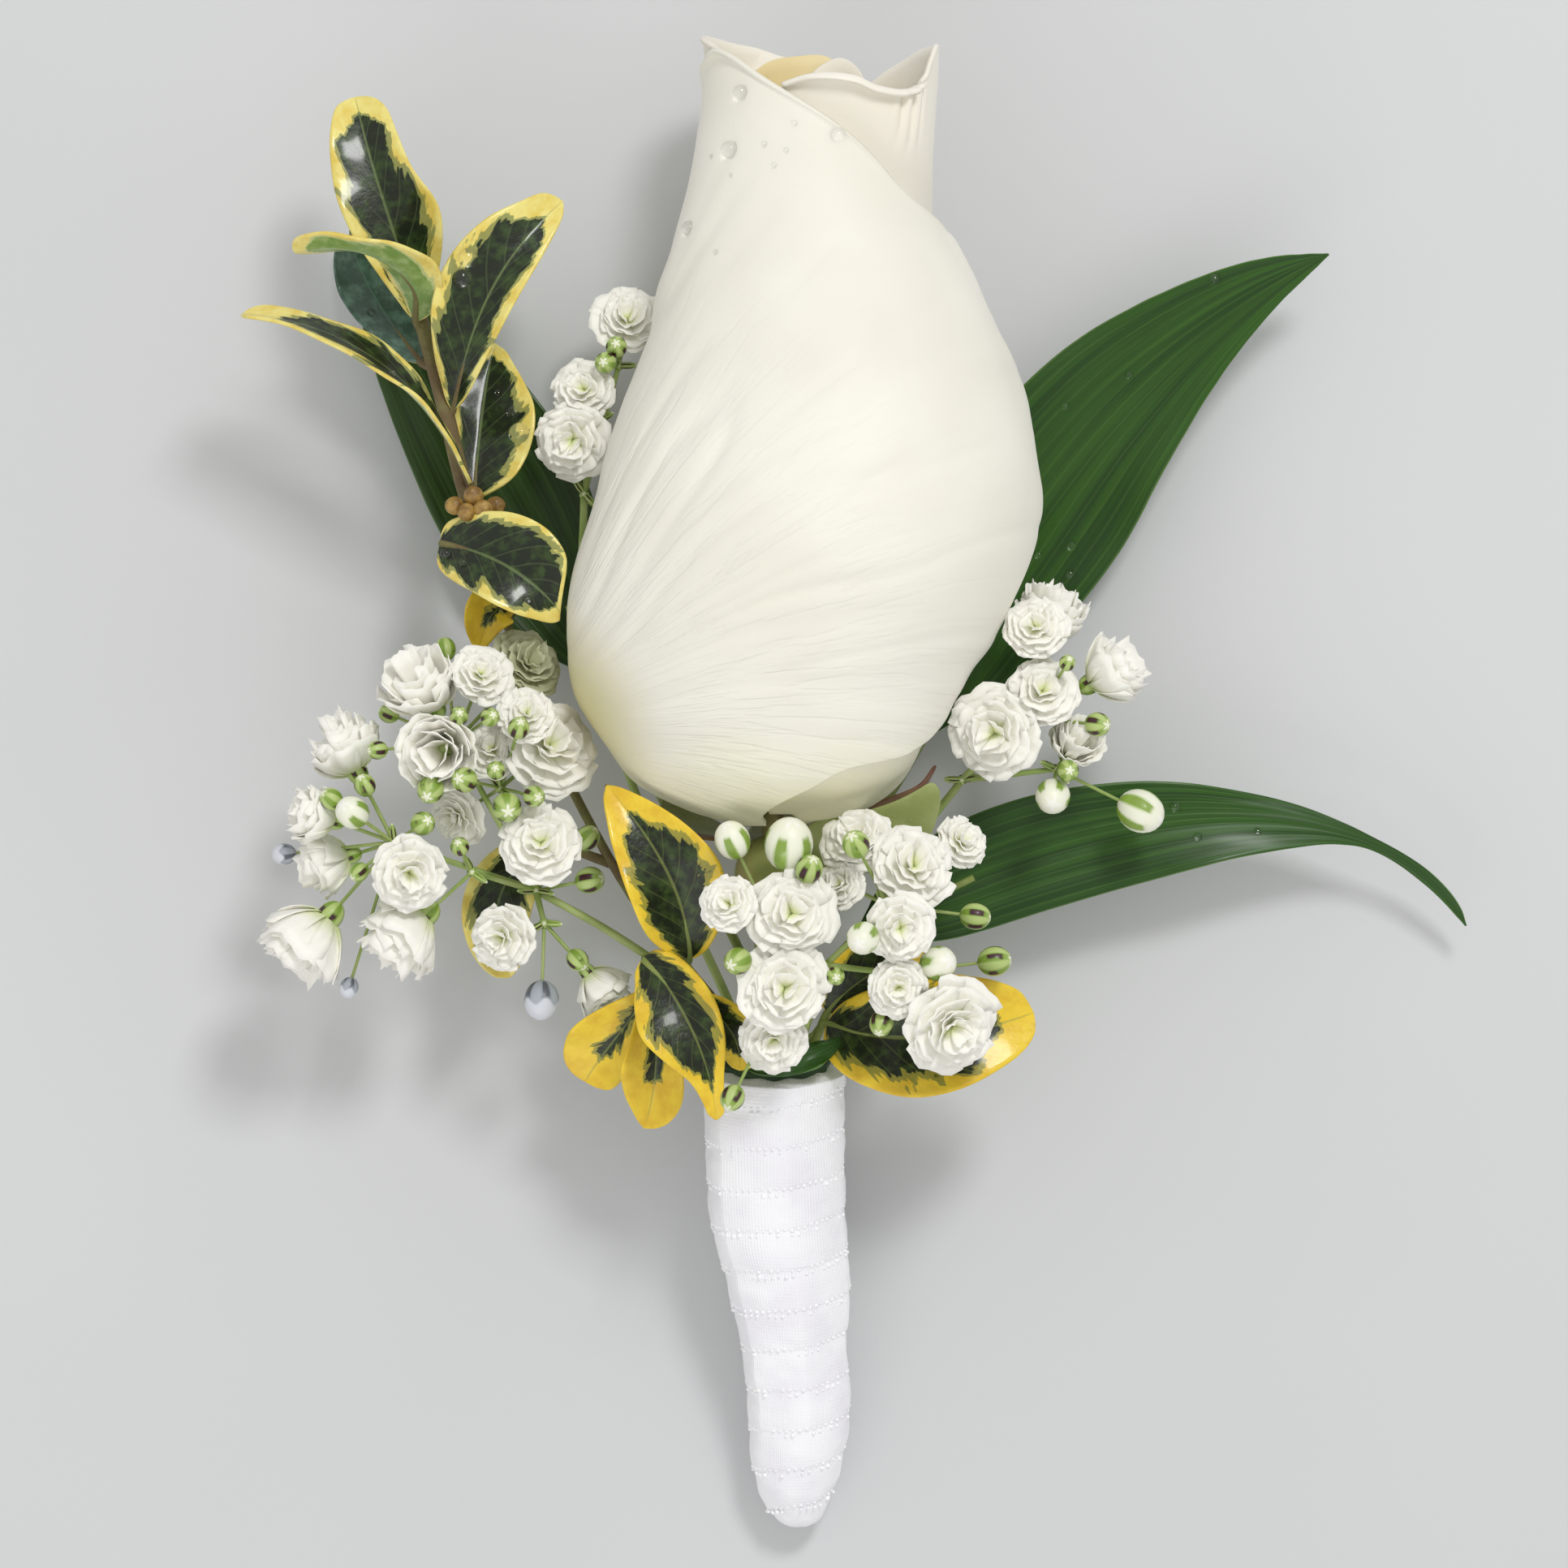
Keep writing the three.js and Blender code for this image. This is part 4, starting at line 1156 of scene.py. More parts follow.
        def surface(u: float, v: float) -> Vector:
            """The petal's middle."""
            turned = lerp(petal.left(PAST_RIM), petal.right(PAST_RIM), u)
            rim = petal.rim(turned) + 0.07 * math.sin(turned * 0.11 + index)
            most = math.radians(petal.roll(turned))
            bend = petal.roll_length(turned) / most
            base = rim - bend * math.sin(min(most, math.pi / 2))
            out = 0.0
            if v < foot:
                height = self.low * (v / foot) ** 1.5
            elif v < body:
                height = lerp(self.low, base, (v - foot) / (body - foot))
            else:
                rolled = most * (v - body) / (1 - body)
                height = base + bend * math.sin(rolled)
                out = bend * (1 - math.cos(rolled))
            angle = lerp(petal.left(height), petal.right(height), u)
            if index == 0:
                edge = ease((u - 0.9) / 0.1) * ease(height / 25)
                out = max(out, edge * (0.32 + 0.2 * math.sin(height * 0.62)))
            if index == 1:
                fringe = ease(1 - abs(turned - 52) / 16) * ease((height - 49) / 5)
                out += fringe * 0.4 * math.sin(turned * 0.8)
            wave = 0.1 * math.sin(height * 0.5 + angle * 0.04)
            wave *= ease((height - 8) / 14)
            depth = self.inward(index, angle, height) + half + wave
            place = bud.point(angle, height, depth)
            if index < 2:
                depth += self.crease(place)
            floor = half if index == 1 else None
            return bud.point(angle, height, max(depth, half) - min(out, 1.3), floor)

        bm = bmesh.new()
        sheet(bm, petal.columns, petal.rows, surface)
        return bm

    def heart_mesh(self) -> BMesh:
        """The furled middle, with a spiral of tight folds at its tip.

        Returns:
            The mesh.
        """
        bud = self.bud

        def surface(u: float, v: float) -> Vector:
            """The heart's outer face."""
            height = lerp(0.9, 50.8, v**1.3)
            open_end = ease((height - 47) / 3.8)
            angle = 360 * u
            fold = 0.35 * ease((height - 30) / 18)
            swirl = 1 + math.sin(math.radians(3 * angle) + height * 0.2)
            inward = self.heart_depth + fold * swirl
            place = bud.point(angle, height, inward)
            axis = Vector((bud.centres(height), place.y, bud.axis_z))
            return place.lerp(axis, open_end * 0.96)

        bm = bmesh.new()
        lofted(bm, 48, 40, surface)
        return bm

    def folds_mesh(self) -> BMesh:
        """The innermost petal, furled round the heart in a spiral.

        Returns:
            The mesh.
        """

        def surface(u: float, v: float) -> Vector:
            """The furled petal's middle."""
            top = 52.3 - 0.8 * u + 0.2 * math.sin(5 * TAU * u)
            flare = 0.5 * ease((v - 0.8) / 0.2)
            inward = self.furl_depths(u) - flare
            return self.bud.point(self.furl_turns(u), lerp(42.0, top, v), inward)

        bm = bmesh.new()
        sheet(bm, 200, 24, surface)
        return bm

    def build(self) -> None:
        """Builds and dresses every petal and the heart."""
        white = PetalFinish("rose_petal_white", "#f3f0e4", "#edeadc", "#f3efcd").material()
        ivory = PetalFinish("rose_petal_ivory", "#f5f1e5", "#efe9da", "#fdf8d2", crease=0.3)
        cream = PetalFinish("rose_petal_cream", "#eddfb4", "#e3cd92", "#c9b878", crease=0.2)
        second, inside = ivory.material(), cream.material()
        looks = [white, second, second, inside, second]
        slots = [Slot.PETAL] * 3 + [Slot.INNER_PETAL] * 2
        wall = Shell(self.thickness, 0)
        for index, petal in enumerate(self.petals):
            name = petal.node.replace("rose_", "rosebud_")
            look, slot = [looks[index]], slots[index]
            piece_of(self.petal_mesh(index), name, look, slot, [petal.node], wall)
        furled = PetalFinish("rose_petal_furled", "#f3ebd2", "#ecdfba", "#d9cc96", crease=0.2)
        inner = [furled.material()]
        heart = ["rose_heart"]
        piece_of(self.heart_mesh(), "rosebud_heart", inner, Slot.INNER_PETAL, heart)
        wall = Shell(0.34, 0)
        piece_of(self.folds_mesh(), "rosebud_furled", inner, Slot.INNER_PETAL, heart, wall)


# ---------------------------------------------------------------- handle


@dataclass(frozen=True)
class Handle:
    """The bound stems: a tapered, slightly bent round that leans down to the table."""

    slope: float = 0.266
    top_y: float = -20.8
    tip_y: float = -55.7
    rest_y: float = -50.0
    rest_z: float = 3.42
    pitch: float = 3.1
    ring: float = 2.95
    depth: float = 8.0
    slots: int = 10
    radii: Profile = Profile(
        [(-55.7, 0.5), (-55.1, 1.6), (-54.2, 2.2), (-52.7, 2.9), (-49.9, 3.6)]
        + [(-46.2, 3.95), (-41, 4.1), (-38.6, 4.5), (-36.5, 4.75), (-32.4, 5.15)]
        + [(-26, 5.3), (-18, 5.4)]
    )
    centres: Profile = Profile(
        [(-55.7, -4.5), (-52.7, -4.75), (-46.2, -4.5), (-41.8, -4.9)]
        + [(-36.5, -5.4), (-32.4, -6.1), (-26, -6.3), (-18, -6.4)]
    )

    @property
    def axis(self) -> Vector:
        """The way the handle runs, towards the flower."""
        return Vector((0, 1, self.slope)).normalized()

    def point(self, y: float, angle: float, radius: float) -> Vector:
        """A point round the axis.

        Args:
            y: The station along the handle.
            angle: 0 faces +X and a quarter turn faces up, in radians.
            radius: Distance from the axis.

        Returns:
            The point.
        """
        up = Vector((0, -self.slope, 1)).normalized()
        middle = Vector((self.centres(y), y, self.rest_z + self.slope * (y - self.rest_y)))
        aside = Vector((radius * math.cos(angle), 0, 0))
        return middle + aside + up * (radius * math.sin(angle))

    def seat(self, slot: int) -> tuple[Vector, Vector]:
        """Where a stem stands in the binding.

        Args:
            slot: Its place in the ring, or -1 for the middle.

        Returns:
            Its mouth and its foot.
        """
        angle = (slot + 0.5) / self.slots * TAU
        mouth = self.point(self.top_y + 0.7, angle, 0.0 if slot < 0 else self.ring)
        return mouth, mouth - self.axis * self.depth

    def plant(
        self, tubes: Tubes, slot: int, places: Sequence[Vector], start: float, end: float
    ) -> None:
        """Stands a stem in the binding and takes it on above.

        Args:
            tubes: The bundle it joins.
            slot: Its place in the ring.
            places: Where it goes above the binding.
            start: Its radius in the binding.
            end: Its radius at its end.
        """
        mouth, foot = self.seat(slot)
        tubes.add([foot, mouth + self.axis * 1.6], start, start, 2)
        tubes.add([mouth + self.axis * 1.1, *places], start, end, 8 * len(places))


@dataclass
class Ribbon:
    """Satin ribbon wound round the handle, each turn lapping the one below, with a picot edge."""

    handle: Handle = Handle()
    lap: float = 0.1
    sides: int = 150
    rows: int = 330
    facets: int = 6
    turn_in: float = 0.3
    picot: float = 0.185
    picot_every: float = 0.54

    def climb(self, y: float, angle: float) -> float:
        """How many turns lie below a place, counted along the winding."""
        turns = (y - self.handle.tip_y) / self.handle.pitch
        return turns - ((angle / TAU) % 1.0)

    def radius(self, y: float, angle: float) -> float:
        """The ribbon's outer radius, stepped at each turn's edge.

        Args:
            y: The station along the handle.
            angle: Round it, in radians, climbing towards +X over the top.

        Returns:
            The radius.
        """
        share = self.climb(y, angle) % 1.0
        lap = self.lap
        slack = lap * (1 - ease(share / 0.09)) + lap * ease((share - 0.09) / 0.91)
        pull = 0.05 * math.sin(5 * angle + y * 0.7) * math.sin(2 * angle - y)
        pull += 0.07 * noise.noise(
            Vector((2.2 * math.cos(angle), 2.2 * math.sin(angle), y * 0.9))
        )
        side = (angle / TAU * self.facets - 0.68) % 1.0
        facet = (0.26 * (2 * abs(side - 0.5)) ** 2 - 0.1) * ease((y + 52) / 10)
        bulge = 0.07 * math.sin(math.pi * share)
        return self.handle.radii(y) - 0.06 - slack + pull + bulge + facet

    def sleeve_mesh(self) -> BMesh:
        """The wound sleeve, with its inner wall at the mouth.

        Returns:
            The mesh.
        """
        handle = self.handle
        lowest = handle.tip_y - 0.02
        cut = handle.point(handle.top_y, 0, 0)

        def surface(u: float, v: float) -> Vector:
            """Tip to mouth outside, then a short way down inside."""
            angle = -TAU * u
            outside = min(v / 0.93, 1.0)
            inside = max(v - 0.93, 0.0) / 0.07
            y = lerp(lowest, handle.top_y + 1.4, outside)
            radius = self.radius(y, -angle) * min(1.0, 0.06 + (y - lowest) * 3)
            place = handle.point(y, angle, max(radius, 0.02))
            past = (place - cut).dot(handle.axis)
            if past > 0:
                place -= handle.axis * past
            if inside > 0:
                mouth = handle.point(handle.top_y, angle, self.radius(handle.top_y, -angle))
                mouth -= handle.axis * (mouth - cut).dot(handle.axis)
                turned_in = min(inside * 1.6, 1.0)
                place = mouth.lerp(cut, self.turn_in * turned_in)
                gather = 0.28 + 0.12 * math.sin(11 * angle) * turned_in
                place += handle.axis * (gather * math.sin(math.pi * 0.62 * turned_in))
                place -= handle.axis * (2.4 * max(inside - 0.625, 0.0))
            place.z = max(place.z, 0.0)
            return place

        bm = bmesh.new()
        lofted(bm, self.sides, self.rows, surface)
        return bm

    def picot_mesh(self) -> BMesh:
        """The row of tiny loops along each turn's edge.

        Returns:
            The mesh.
        """
        handle = self.handle
        bm = bmesh.new()
        turns = (handle.top_y - handle.tip_y) / handle.pitch
        turn = 0.25
        rng = random.Random(4)
        while turn < turns + 0.6:
            angle = (turn % 1.0) * TAU
            y = handle.tip_y + (math.floor(turn) + angle / TAU) * handle.pitch
            y += 0.05 * handle.pitch
            radius = self.radius(y, angle)
            for row in (0.0, -0.42):
                station = y + row + rng.uniform(-0.07, 0.07)
                size = self.picot * rng.uniform(0.6, 1.15)
                kept = rng.random() < (0.92 if row == 0 else 0.5)
                place = handle.point(station, -angle, radius - size * 0.3)
                past = (place - handle.point(handle.top_y, 0, 0)).dot(handle.axis)
                if kept and past < -0.25 and place.z > 0.3 and y > handle.tip_y + 1.2:
                    matrix = Matrix.Translation(place) @ Matrix.Scale(size, 4)
                    loop = bmesh.ops.create_icosphere(bm, subdivisions=1, radius=1, matrix=matrix)
                    for face in faces_of(loop["verts"]):
                        face.smooth = True
            turn += self.picot_every / (TAU * max(handle.radii(y), 1.0))
        return bm

    def build(self) -> None:
        """Builds and dresses the ribbon."""
        satin = SatinFinish("white_satin", "#fafafd", "#f2f0f6").material()
        thread = PlainFinish("picot_thread", "#ffffff", "#f8f8fb", roughness=0.5).material()
        piece_of(self.sleeve_mesh(), "ribbon_winding", [satin], Slot.RIBBON, ["ribbon_wrap"])
        piece_of(self.picot_mesh(), "ribbon_picot_edge", [thread], Slot.RIBBON)


# ---------------------------------------------------------------- leaves


SHARES = (0.0, 0.12, 0.27, 0.45, 0.62, 0.78, 0.9, 0.97, 1.0)


class Margin(Enum):
    """How much of a leaf is margin; the value is its place among the sprig's upper finishes."""

    USUAL = 0
    WIDE = 1
    NONE = 2


@dataclass(frozen=True)
class Leaf:
    """One leaf: its midrib, its half widths at SHARES of its length, and the way it faces."""

    midrib: tuple[Triple, Triple, Triple, Triple]
    left: tuple[float, ...]
    right: tuple[float, ...]
    start: Triple | None = None
    face: Triple = (0, 0, 1)
    cup: float | None = None
    margin: Margin = Margin.USUAL

    def line(self, count: int) -> list[Vector]:
        """Points along its midrib."""
        return interpolate_bezier(*vectors(self.midrib), count)


def oval(width: float) -> tuple[float, ...]:
    """Half widths of an even, blunt leaf."""
    return tuple(width * k for k in (0.2, 0.52, 0.8, 0.97, 1.0, 0.88, 0.66, 0.4, 0.25))


def lance(width: float) -> tuple[float, ...]:
    """Half widths of an even, long-pointed leaf."""
    return tuple(width * k for k in (0.12, 0.62, 0.9, 0.99, 0.86, 0.6, 0.32, 0.12, 0.03))


@dataclass(frozen=True)
class LeafForm:
    """What leaves of one kind share."""

    fold: float
    wave: float
    columns: int
    rows: int
    thickness: float = 0.3
    blunt: bool = True


@dataclass(frozen=True)
class Sprig:
    """Leaves on one stem that stands in the binding."""

    node: str
    slot: int
    stem: list[Triple]
    leaves: list[Leaf]
    form: LeafForm
    bud: Bud = Bud()
    handle: Handle = Handle()
    woody_from: int = 0
    terminal: bool = False
    radius: float = 0.42 * 0.9

    def blade(self, bm: BMesh, leaf: Leaf) -> None:
        """Adds one blade.

        Args:
            bm: The mesh to add it to.
            leaf: The leaf.
        """
        form = self.form
        steps = 240
        line = leaf.line(steps + 1)
        ways = ways_along(line)
        face = Vector(leaf.face).normalized()
        sides = [Profile(list(zip(SHARES, w))) for w in (leaf.left, leaf.right)]
        fold = form.fold if leaf.cup is None else leaf.cup
        ruffle = leaf.midrib[0][0]

        def surface(u: float, v: float) -> Vector:
            """The blade's middle."""
            share = lerp(v, (1 - math.cos(math.pi * v)) / 2, 0.6)
            k = round(share * steps)
            side = ways[k].cross(face).normalized()
            up = side.cross(ways[k])
            across = 2 * u - 1
            half = sides[int(across > 0)](share)
            if form.blunt:
                half *= round_end(1 - share / 0.07, 0.01)
                half *= round_end(1 - (1 - share) / 0.05, 0.01)
            half = max(half, 0.06)
            wave = form.wave * math.sin(TAU * (1.6 * share + 0.35 * math.copysign(1, across)))
            wave += 0.3 * form.wave * math.sin(TAU * 4.3 * share + ruffle)
            wave *= across**2 * math.sin(math.pi * share)
            lift = abs(across) ** 1.3 * half * math.sin(fold) + wave
            place = line[k] + side * (across * half * math.cos(fold)) + up * lift
            return self.bud.clear(place, BLADE_ROOM)

        sheet(bm, form.columns, form.rows, surface, 2 * leaf.margin.value)

    def stems(self) -> BMesh:
        """The stem and the stalks of its leaves.

        Returns:
            The mesh.
        """
        bm = bmesh.new()
        tubes = Tubes(bm, 8)
        places = vectors(self.stem)
        if self.terminal:
            places.append(self.leaves[0].line(6)[1])
        outside = [self.bud.clear(p, STEM_ROOM) for p in places]
        self.handle.plant(tubes, self.slot, outside, self.radius, self.radius * 0.8)
        if self.woody_from:
            woody = places[self.woody_from :]
            tubes.add(woody, 0.7, 0.52, 6 * len(woody))
        for leaf in [] if self.terminal else self.leaves:
            on_rib = leaf.line(11)
            path = [Vector(leaf.start or self.stem[-1]), on_rib[0], on_rib[2], on_rib[4]]
            tubes.add([self.bud.clear(p, STEM_ROOM) for p in path], 0.4, 0.12, 10)
        return bm

    def build(self, tops: Sequence[Material], under: Material, bark: Material, slot: Slot) -> None:
        """Builds and dresses the leaves and their stem.

        Args:
            tops: The blades' upper finishes, in the order of Margin.
            under: Their lower finish.
            bark: The stem's finish.
            slot: The record's slot.
        """
        bm = bmesh.new()
        for leaf in self.leaves:
            self.blade(bm, leaf)
        looks = [look for top in tops for look in (top, under)]
        wall = Shell(self.form.thickness, 1, back_material=True)
        piece_of(bm, self.node + "_blades", looks, slot, [self.node], wall)
        piece_of(self.stems(), self.node + "_stem", [bark], slot, [self.node])


RUSCUS = LeafForm(0.1, 0.5, 20, 56, blunt=False)
VARIEGATED = LeafForm(0.28, 0.35, 14, 36)


@dataclass
class Greenery:
    """Every leafy stem, placed as in the solids."""

    ruscus: tuple[Sprig, ...] = (
        Sprig(
            "ruscus_leaf_left",
            6,
            [(-8.2, -14, 7), (-12.2, -6, 5), (-19.5, 8.5, 4.2)],
            [
                Leaf(
                    ((-19.5, 8.5, 4.2), (-22.5, 16, 2.2), (-31, 30, 1.2), (-38.3, 42.1, 3.5)),
                    (0.4, 3.3, 5.2, 5.9, 5.2, 3.85, 2.2, 0.8, 0.05),
                    (0.4, 2.6, 4.6, 5.9, 5.3, 3.7, 2.2, 0.8, 0.05),
                )
            ],
            RUSCUS,
            terminal=True,
        ),
        Sprig(
            "ruscus_leaf_upper_right",
            7,
            [(-5, -14, 7.2), (-0.4, -5, 5.4), (5, 4, 4.4)],
            [
                Leaf(
                    ((5, 4, 4.4), (9.4, 17, 2.4), (20, 32, 3.4), (35.1, 39.9, 8)),
                    (0.4, 3.6, 6.2, 7.2, 6.6, 4.6, 2.6, 0.9, 0.05),
                    (0.4, 4.2, 6.0, 6.6, 5.0, 2.9, 1.3, 0.5, 0.05),
                )
            ],
            RUSCUS,
            terminal=True,
        ),
        Sprig(
            "ruscus_leaf_lower_right",
            8,
            [(-3.4, -15.5, 8.6), (0, -11, 7.6)],
            [
                Leaf(
                    ((0, -11, 7.6), (12, -3.5, 7), (37.4, 3.6, 8), (45.7, -10.4, 3.4)),
                    (0.4, 3.6, 4.5, 3.6, 1.8, 0.5, 0.5, 0.4, 0.05),
                    (0.4, 3.4, 4.2, 3.9, 2.4, 0.5, 0.45, 0.3, 0.05),
                ),
                Leaf(
                    ((-1.6, -18.6, 15.4), (-3, -19.8, 17),
                     (-5.4, -20.3, 17.3), (-8.4, -20.5, 16.6)),
                    oval(1.1), oval(1.0),
                ),
            ],
            RUSCUS,
            terminal=True,
        ),
    )
    upper: Sprig = Sprig(
        "variegated_sprig_upper",
        4,
        [(-9.9, -17, 11.4), (-17, -8, 10), (-23.4, 4, 9.6), (-26.5, 13, 10.4)]
        + [(-28.8, 20.5, 12), (-29.8, 24, 12.6), (-30.9, 28.6, 13.2)]
        + [(-32.5, 34.5, 13.6), (-33.4, 37, 13.6)],
        [
            Leaf(
                ((-32.6, 34.6, 13.6), (-33.8, 39.1, 15), (-36.3, 46.3, 16), (-37.4, 51.2, 13.4)),
                (0.5, 1.2, 2.1, 3.1, 3.4, 2.9, 2.2, 1.5, 0.9),
                (0.5, 1.5, 3.1, 4.0, 2.9, 2.5, 2.2, 1.4, 0.8),
                (-32.5, 34.4, 13.6),
            ),
            Leaf(
                ((-30.2, 28, 13.4), (-29.1, 32.5, 16), (-27.6, 38.2, 18), (-22, 43.4, 14.6)),
                (0.3, 1.3, 2.5, 3.8, 4.1, 3.4, 2.2, 1.5, 1.1),
                (0.3, 1.0, 1.5, 1.9, 2.05, 1.9, 1.4, 0.8, 0.4),
                (-30.7, 27.6, 13),
            ),
            Leaf(
                ((-32.9, 34.6, 14.2), (-31.6, 38, 18), (-36.6, 40.6, 22), (-41.6, 39.4, 19)),
                (0.4, 1.6, 2.5, 2.8, 2.5, 2.0, 1.6, 1.2, 0.8),
                (0.4, 1.3, 2.1, 2.3, 2.1, 1.8, 1.5, 1.1, 0.7),
                (-32.4, 34, 13.6),
                (0.25, 0.85, -0.22),
            ),
            Leaf(
                ((-32.6, 31.6, 12.6), (-34.8, 34.3, 10.4), (-37.2, 37.3, 9.4), (-38.1, 41.3, 9.4)),
                oval(2.6), oval(2.6),
                (-31.6, 31.2, 13.3),
                (0.3, 0.2, 1),
                margin=Margin.NONE,
            ),
            Leaf(
                ((-28.9, 22.4, 13), (-30.5, 27.1, 17), (-35.4, 34, 19), (-45.7, 34.9, 16)),
                (0.3, 0.7, 1.3, 2.0, 2.3, 2.2, 2.0, 1.8, 1.4),
                (0.3, 0.6, 1.1, 1.7, 2.0, 2.0, 1.8, 1.6, 1.2),
                (-29.1, 21.6, 12.3),
                (0.35, 0.8, 0.42),
            ),
            Leaf(
                ((-28.7, 21.4, 11.7), (-28.5, 25, 10.4), (-28.2, 29.5, 9.4), (-27.2, 33.2, 8.6)),
                (0.3, 1.4, 1.9, 2.0, 2.0, 1.7, 1.2, 0.6, 0.2),
                (0.3, 2.7, 3.8, 4.3, 4.0, 2.9, 1.7, 0.9, 0.3),
                (-29, 21.4, 12.2),
            ),
            Leaf(
                ((-31.1, 18.2, 12.4), (-28.2, 17.7, 15.6), (-24.3, 16, 17.6), (-21.8, 12.5, 15.4)),
                (1.2, 2.2, 3.0, 3.9, 4.1, 3.2, 1.7, 0.8, 0.4),
                (1.2, 2.3, 2.8, 3.0, 3.0, 2.5, 1.7, 1.0, 0.5),
                (-28, 18.2, 11.7),
            ),
            Leaf(
                ((-25.7, 13.2, 10.9), (-26.8, 14, 12), (-28, 12.6, 12.4), (-28.3, 9.9, 11.4)),
                lance(1.7), lance(2.5),
                (-26.4, 12.6, 10.4),
                cup=0.5,
                margin=Margin.WIDE,
            ),
            Leaf(
                ((-22.4, -4.4, 9.4), (-26.4, -5.2, 10), (-28.6, -9.3, 10.4), (-26, -14.1, 9.6)),
                oval(2.7), oval(2.7),
                (-18.6, -5.6, 9.6),
            ),
        ],
        VARIEGATED,
        woody_from=3,
    )
    lower: tuple[Sprig, ...] = (
        Sprig(
            "variegated_sprig_lower_left",
            2,
            [(-9, -17.5, 15.4), (-12.2, -14.8, 16.4), (-14, -13.2, 16.8)],
            [
                Leaf(
                    ((-12.6, -12.6, 17.4), (-12.6, -8.3, 19.4),
                     (-15, -3.8, 20.6), (-18.7, 0.2, 19)),
                    (0.5, 2.5, 3.4, 3.6, 3.3, 2.5, 1.5, 0.7, 0.2),
                    (0.6, 2.1, 3.6, 4.2, 3.4, 2.2, 1.2, 0.5, 0.2),
                    cup=0.4,
                ),
                Leaf(
                    ((-16, -12.6, 17.4), (-13.5, -14.6, 20.2),
                     (-10.9, -19.7, 20.4), (-10.6, -24.4, 18.6)),
                    (1.0, 1.9, 2.4, 2.6, 2.1, 1.15, 0.75, 0.6, 0.3),
                    (0.9, 1.9, 3.2, 3.8, 2.9, 1.5, 0.9, 0.6, 0.3),
                ),
                Leaf(
                    ((-15.2, -13.6, 16.4), (-15.1, -17.3, 17),
                     (-14.6, -20.9, 16), (-16, -25.2, 13.4)),
                    (0.8, 1.8, 2.1, 2.15, 2.4, 2.6, 1.9, 0.9, 0.4),
                    (0.6, 1.1, 1.7, 2.4, 2.9, 2.4, 1.4, 0.6, 0.3),
                    cup=0.5,
                    margin=Margin.WIDE,
                ),
                Leaf(
                    ((-15.4, -14.6, 15.4), (-17.1, -17.6, 14.6),
                     (-19.2, -19.7, 13.4), (-20.4, -21.8, 11.6)),
                    (0.5, 1.0, 1.4, 1.8, 2.2, 2.3, 1.9, 1.0, 0.6),
                    (0.3, 1.0, 1.9, 2.8, 3.2, 2.9, 2.2, 1.2, 0.6),
                    margin=Margin.WIDE,
                ),
                Leaf(
                    ((-12.2, -15.2, 17.4), (-9.9, -17, 18.2),
                     (-8.7, -18.5, 18.2), (-8.9, -20.8, 17.6)),
                    oval(1.8), oval(1.5),
                ),
            ],
            VARIEGATED,
        ),
        Sprig(
            "variegated_sprig_lower_right",
            0,
            [(-2.8, -17.6, 13.6)],
            [
                Leaf(
                    ((-2.4, -17.4, 14), (1.5, -19.2, 17), (8.1, -18.4, 17.6), (12.8, -16.6, 15)),
                    (1.2, 2.7, 3.8, 4.6, 4.7, 3.9, 2.8, 1.7, 0.8),
                    (1.2, 2.9, 4.0, 4.6, 4.2, 3.3, 2.4, 1.4, 0.7),
                ),
                Leaf(
                    ((-2.4, -16.6, 13.6), (-1.2, -14.8, 14.6), (1.4, -13.2, 15), (4.8, -11.6, 14)),
                    oval(2.7), oval(2.7),
                ),
            ],
            VARIEGATED,
        ),
    )

    def build(self) -> None:
        """Builds and dresses every leafy stem."""
        ruscus = LeafFinish("ruscus_green", "#1f400f", "#335d18", "#6b9144").material()
        back = LeafFinish("ruscus_underside", "#3f6334", "#4f7740", "#7b9a62", 0.5).material()
        green_stem = PlainFinish("green_stem", "#6f7f3c", "#8a9650").material()
        # A darker copy of the ruscus green for the left leaf: painted shade, since that leaf lies
        # in shadow.
        shaded = LeafFinish("ruscus_green_painted_shade", "#22380f", "#365420", "#5d7f45").material()
        for sprig in self.ruscus:
            # The left leaf takes the painted shade copy; the others take the plain ruscus green.
            top = shaded if sprig is self.ruscus[0] else ruscus
            sprig.build([top], back, green_stem, Slot.RUSCUS)
        codes = ("#151f0c", "#35491d", "#ecdf84", "#e0c65a", "#81945a")
        cream = VariegatedFinish("leaf_cream_margin", *codes, tip=0.27, jag=1.15)
        codes = ("#161f0e", "#3a4d1f", "#f0cf3c", "#e2ba32", "#8f9a50")
        yellow = VariegatedFinish("leaf_yellow_margin", *codes, 0.34, 0.42, 1.1, coat=0.22)
        gold = replace(yellow, name="leaf_nearly_all_yellow", width=0.8, jag=1.3).material()
        codes = ("#7b9a4c", "#a2b874", "#ecdf8c", "#e0c862", "#c2cf9c")
        pale = VariegatedFinish("leaf_underside", *codes).material()
        bark = PlainFinish("woody_stem", "#6b5a3a", "#7c7a48", 0.7, relief=0.2).material()
        teal = {"deep": "#3a5446", "middle": "#5f7f6e", "rib": "#6d8a78"}
        plain = replace(cream, name="leaf_without_margin", **teal, width=-0.4, tip=0.02, jag=0.2)
        upper_looks = [cream.material(), gold, plain.material()]
        self.upper.build(upper_looks, pale, bark, Slot.VARIEGATED)
        lower_looks = [yellow.material(), gold]
        for sprig in self.lower:
            sprig.build(lower_looks, pale, green_stem, Slot.VARIEGATED)


# ---------------------------------------------------------------- baby's breath


@dataclass(frozen=True)
class Spray:
    """A branched stem with a blossom or a round bud at the end of each thin stalk."""

    name: str
    slot: int
    stem: list[Triple]
    hubs: list[Triple]
    blossoms: list[tuple[float, ...]]
    buds: list[Quad]
    dried: tuple[int, ...] = ()


class Whorl(NamedTuple):
    """A ring of petals: how many, their length, their feet's height, half width and rise."""

    count: int
    reach: float
    foot: float
    wide: float
    lift: float


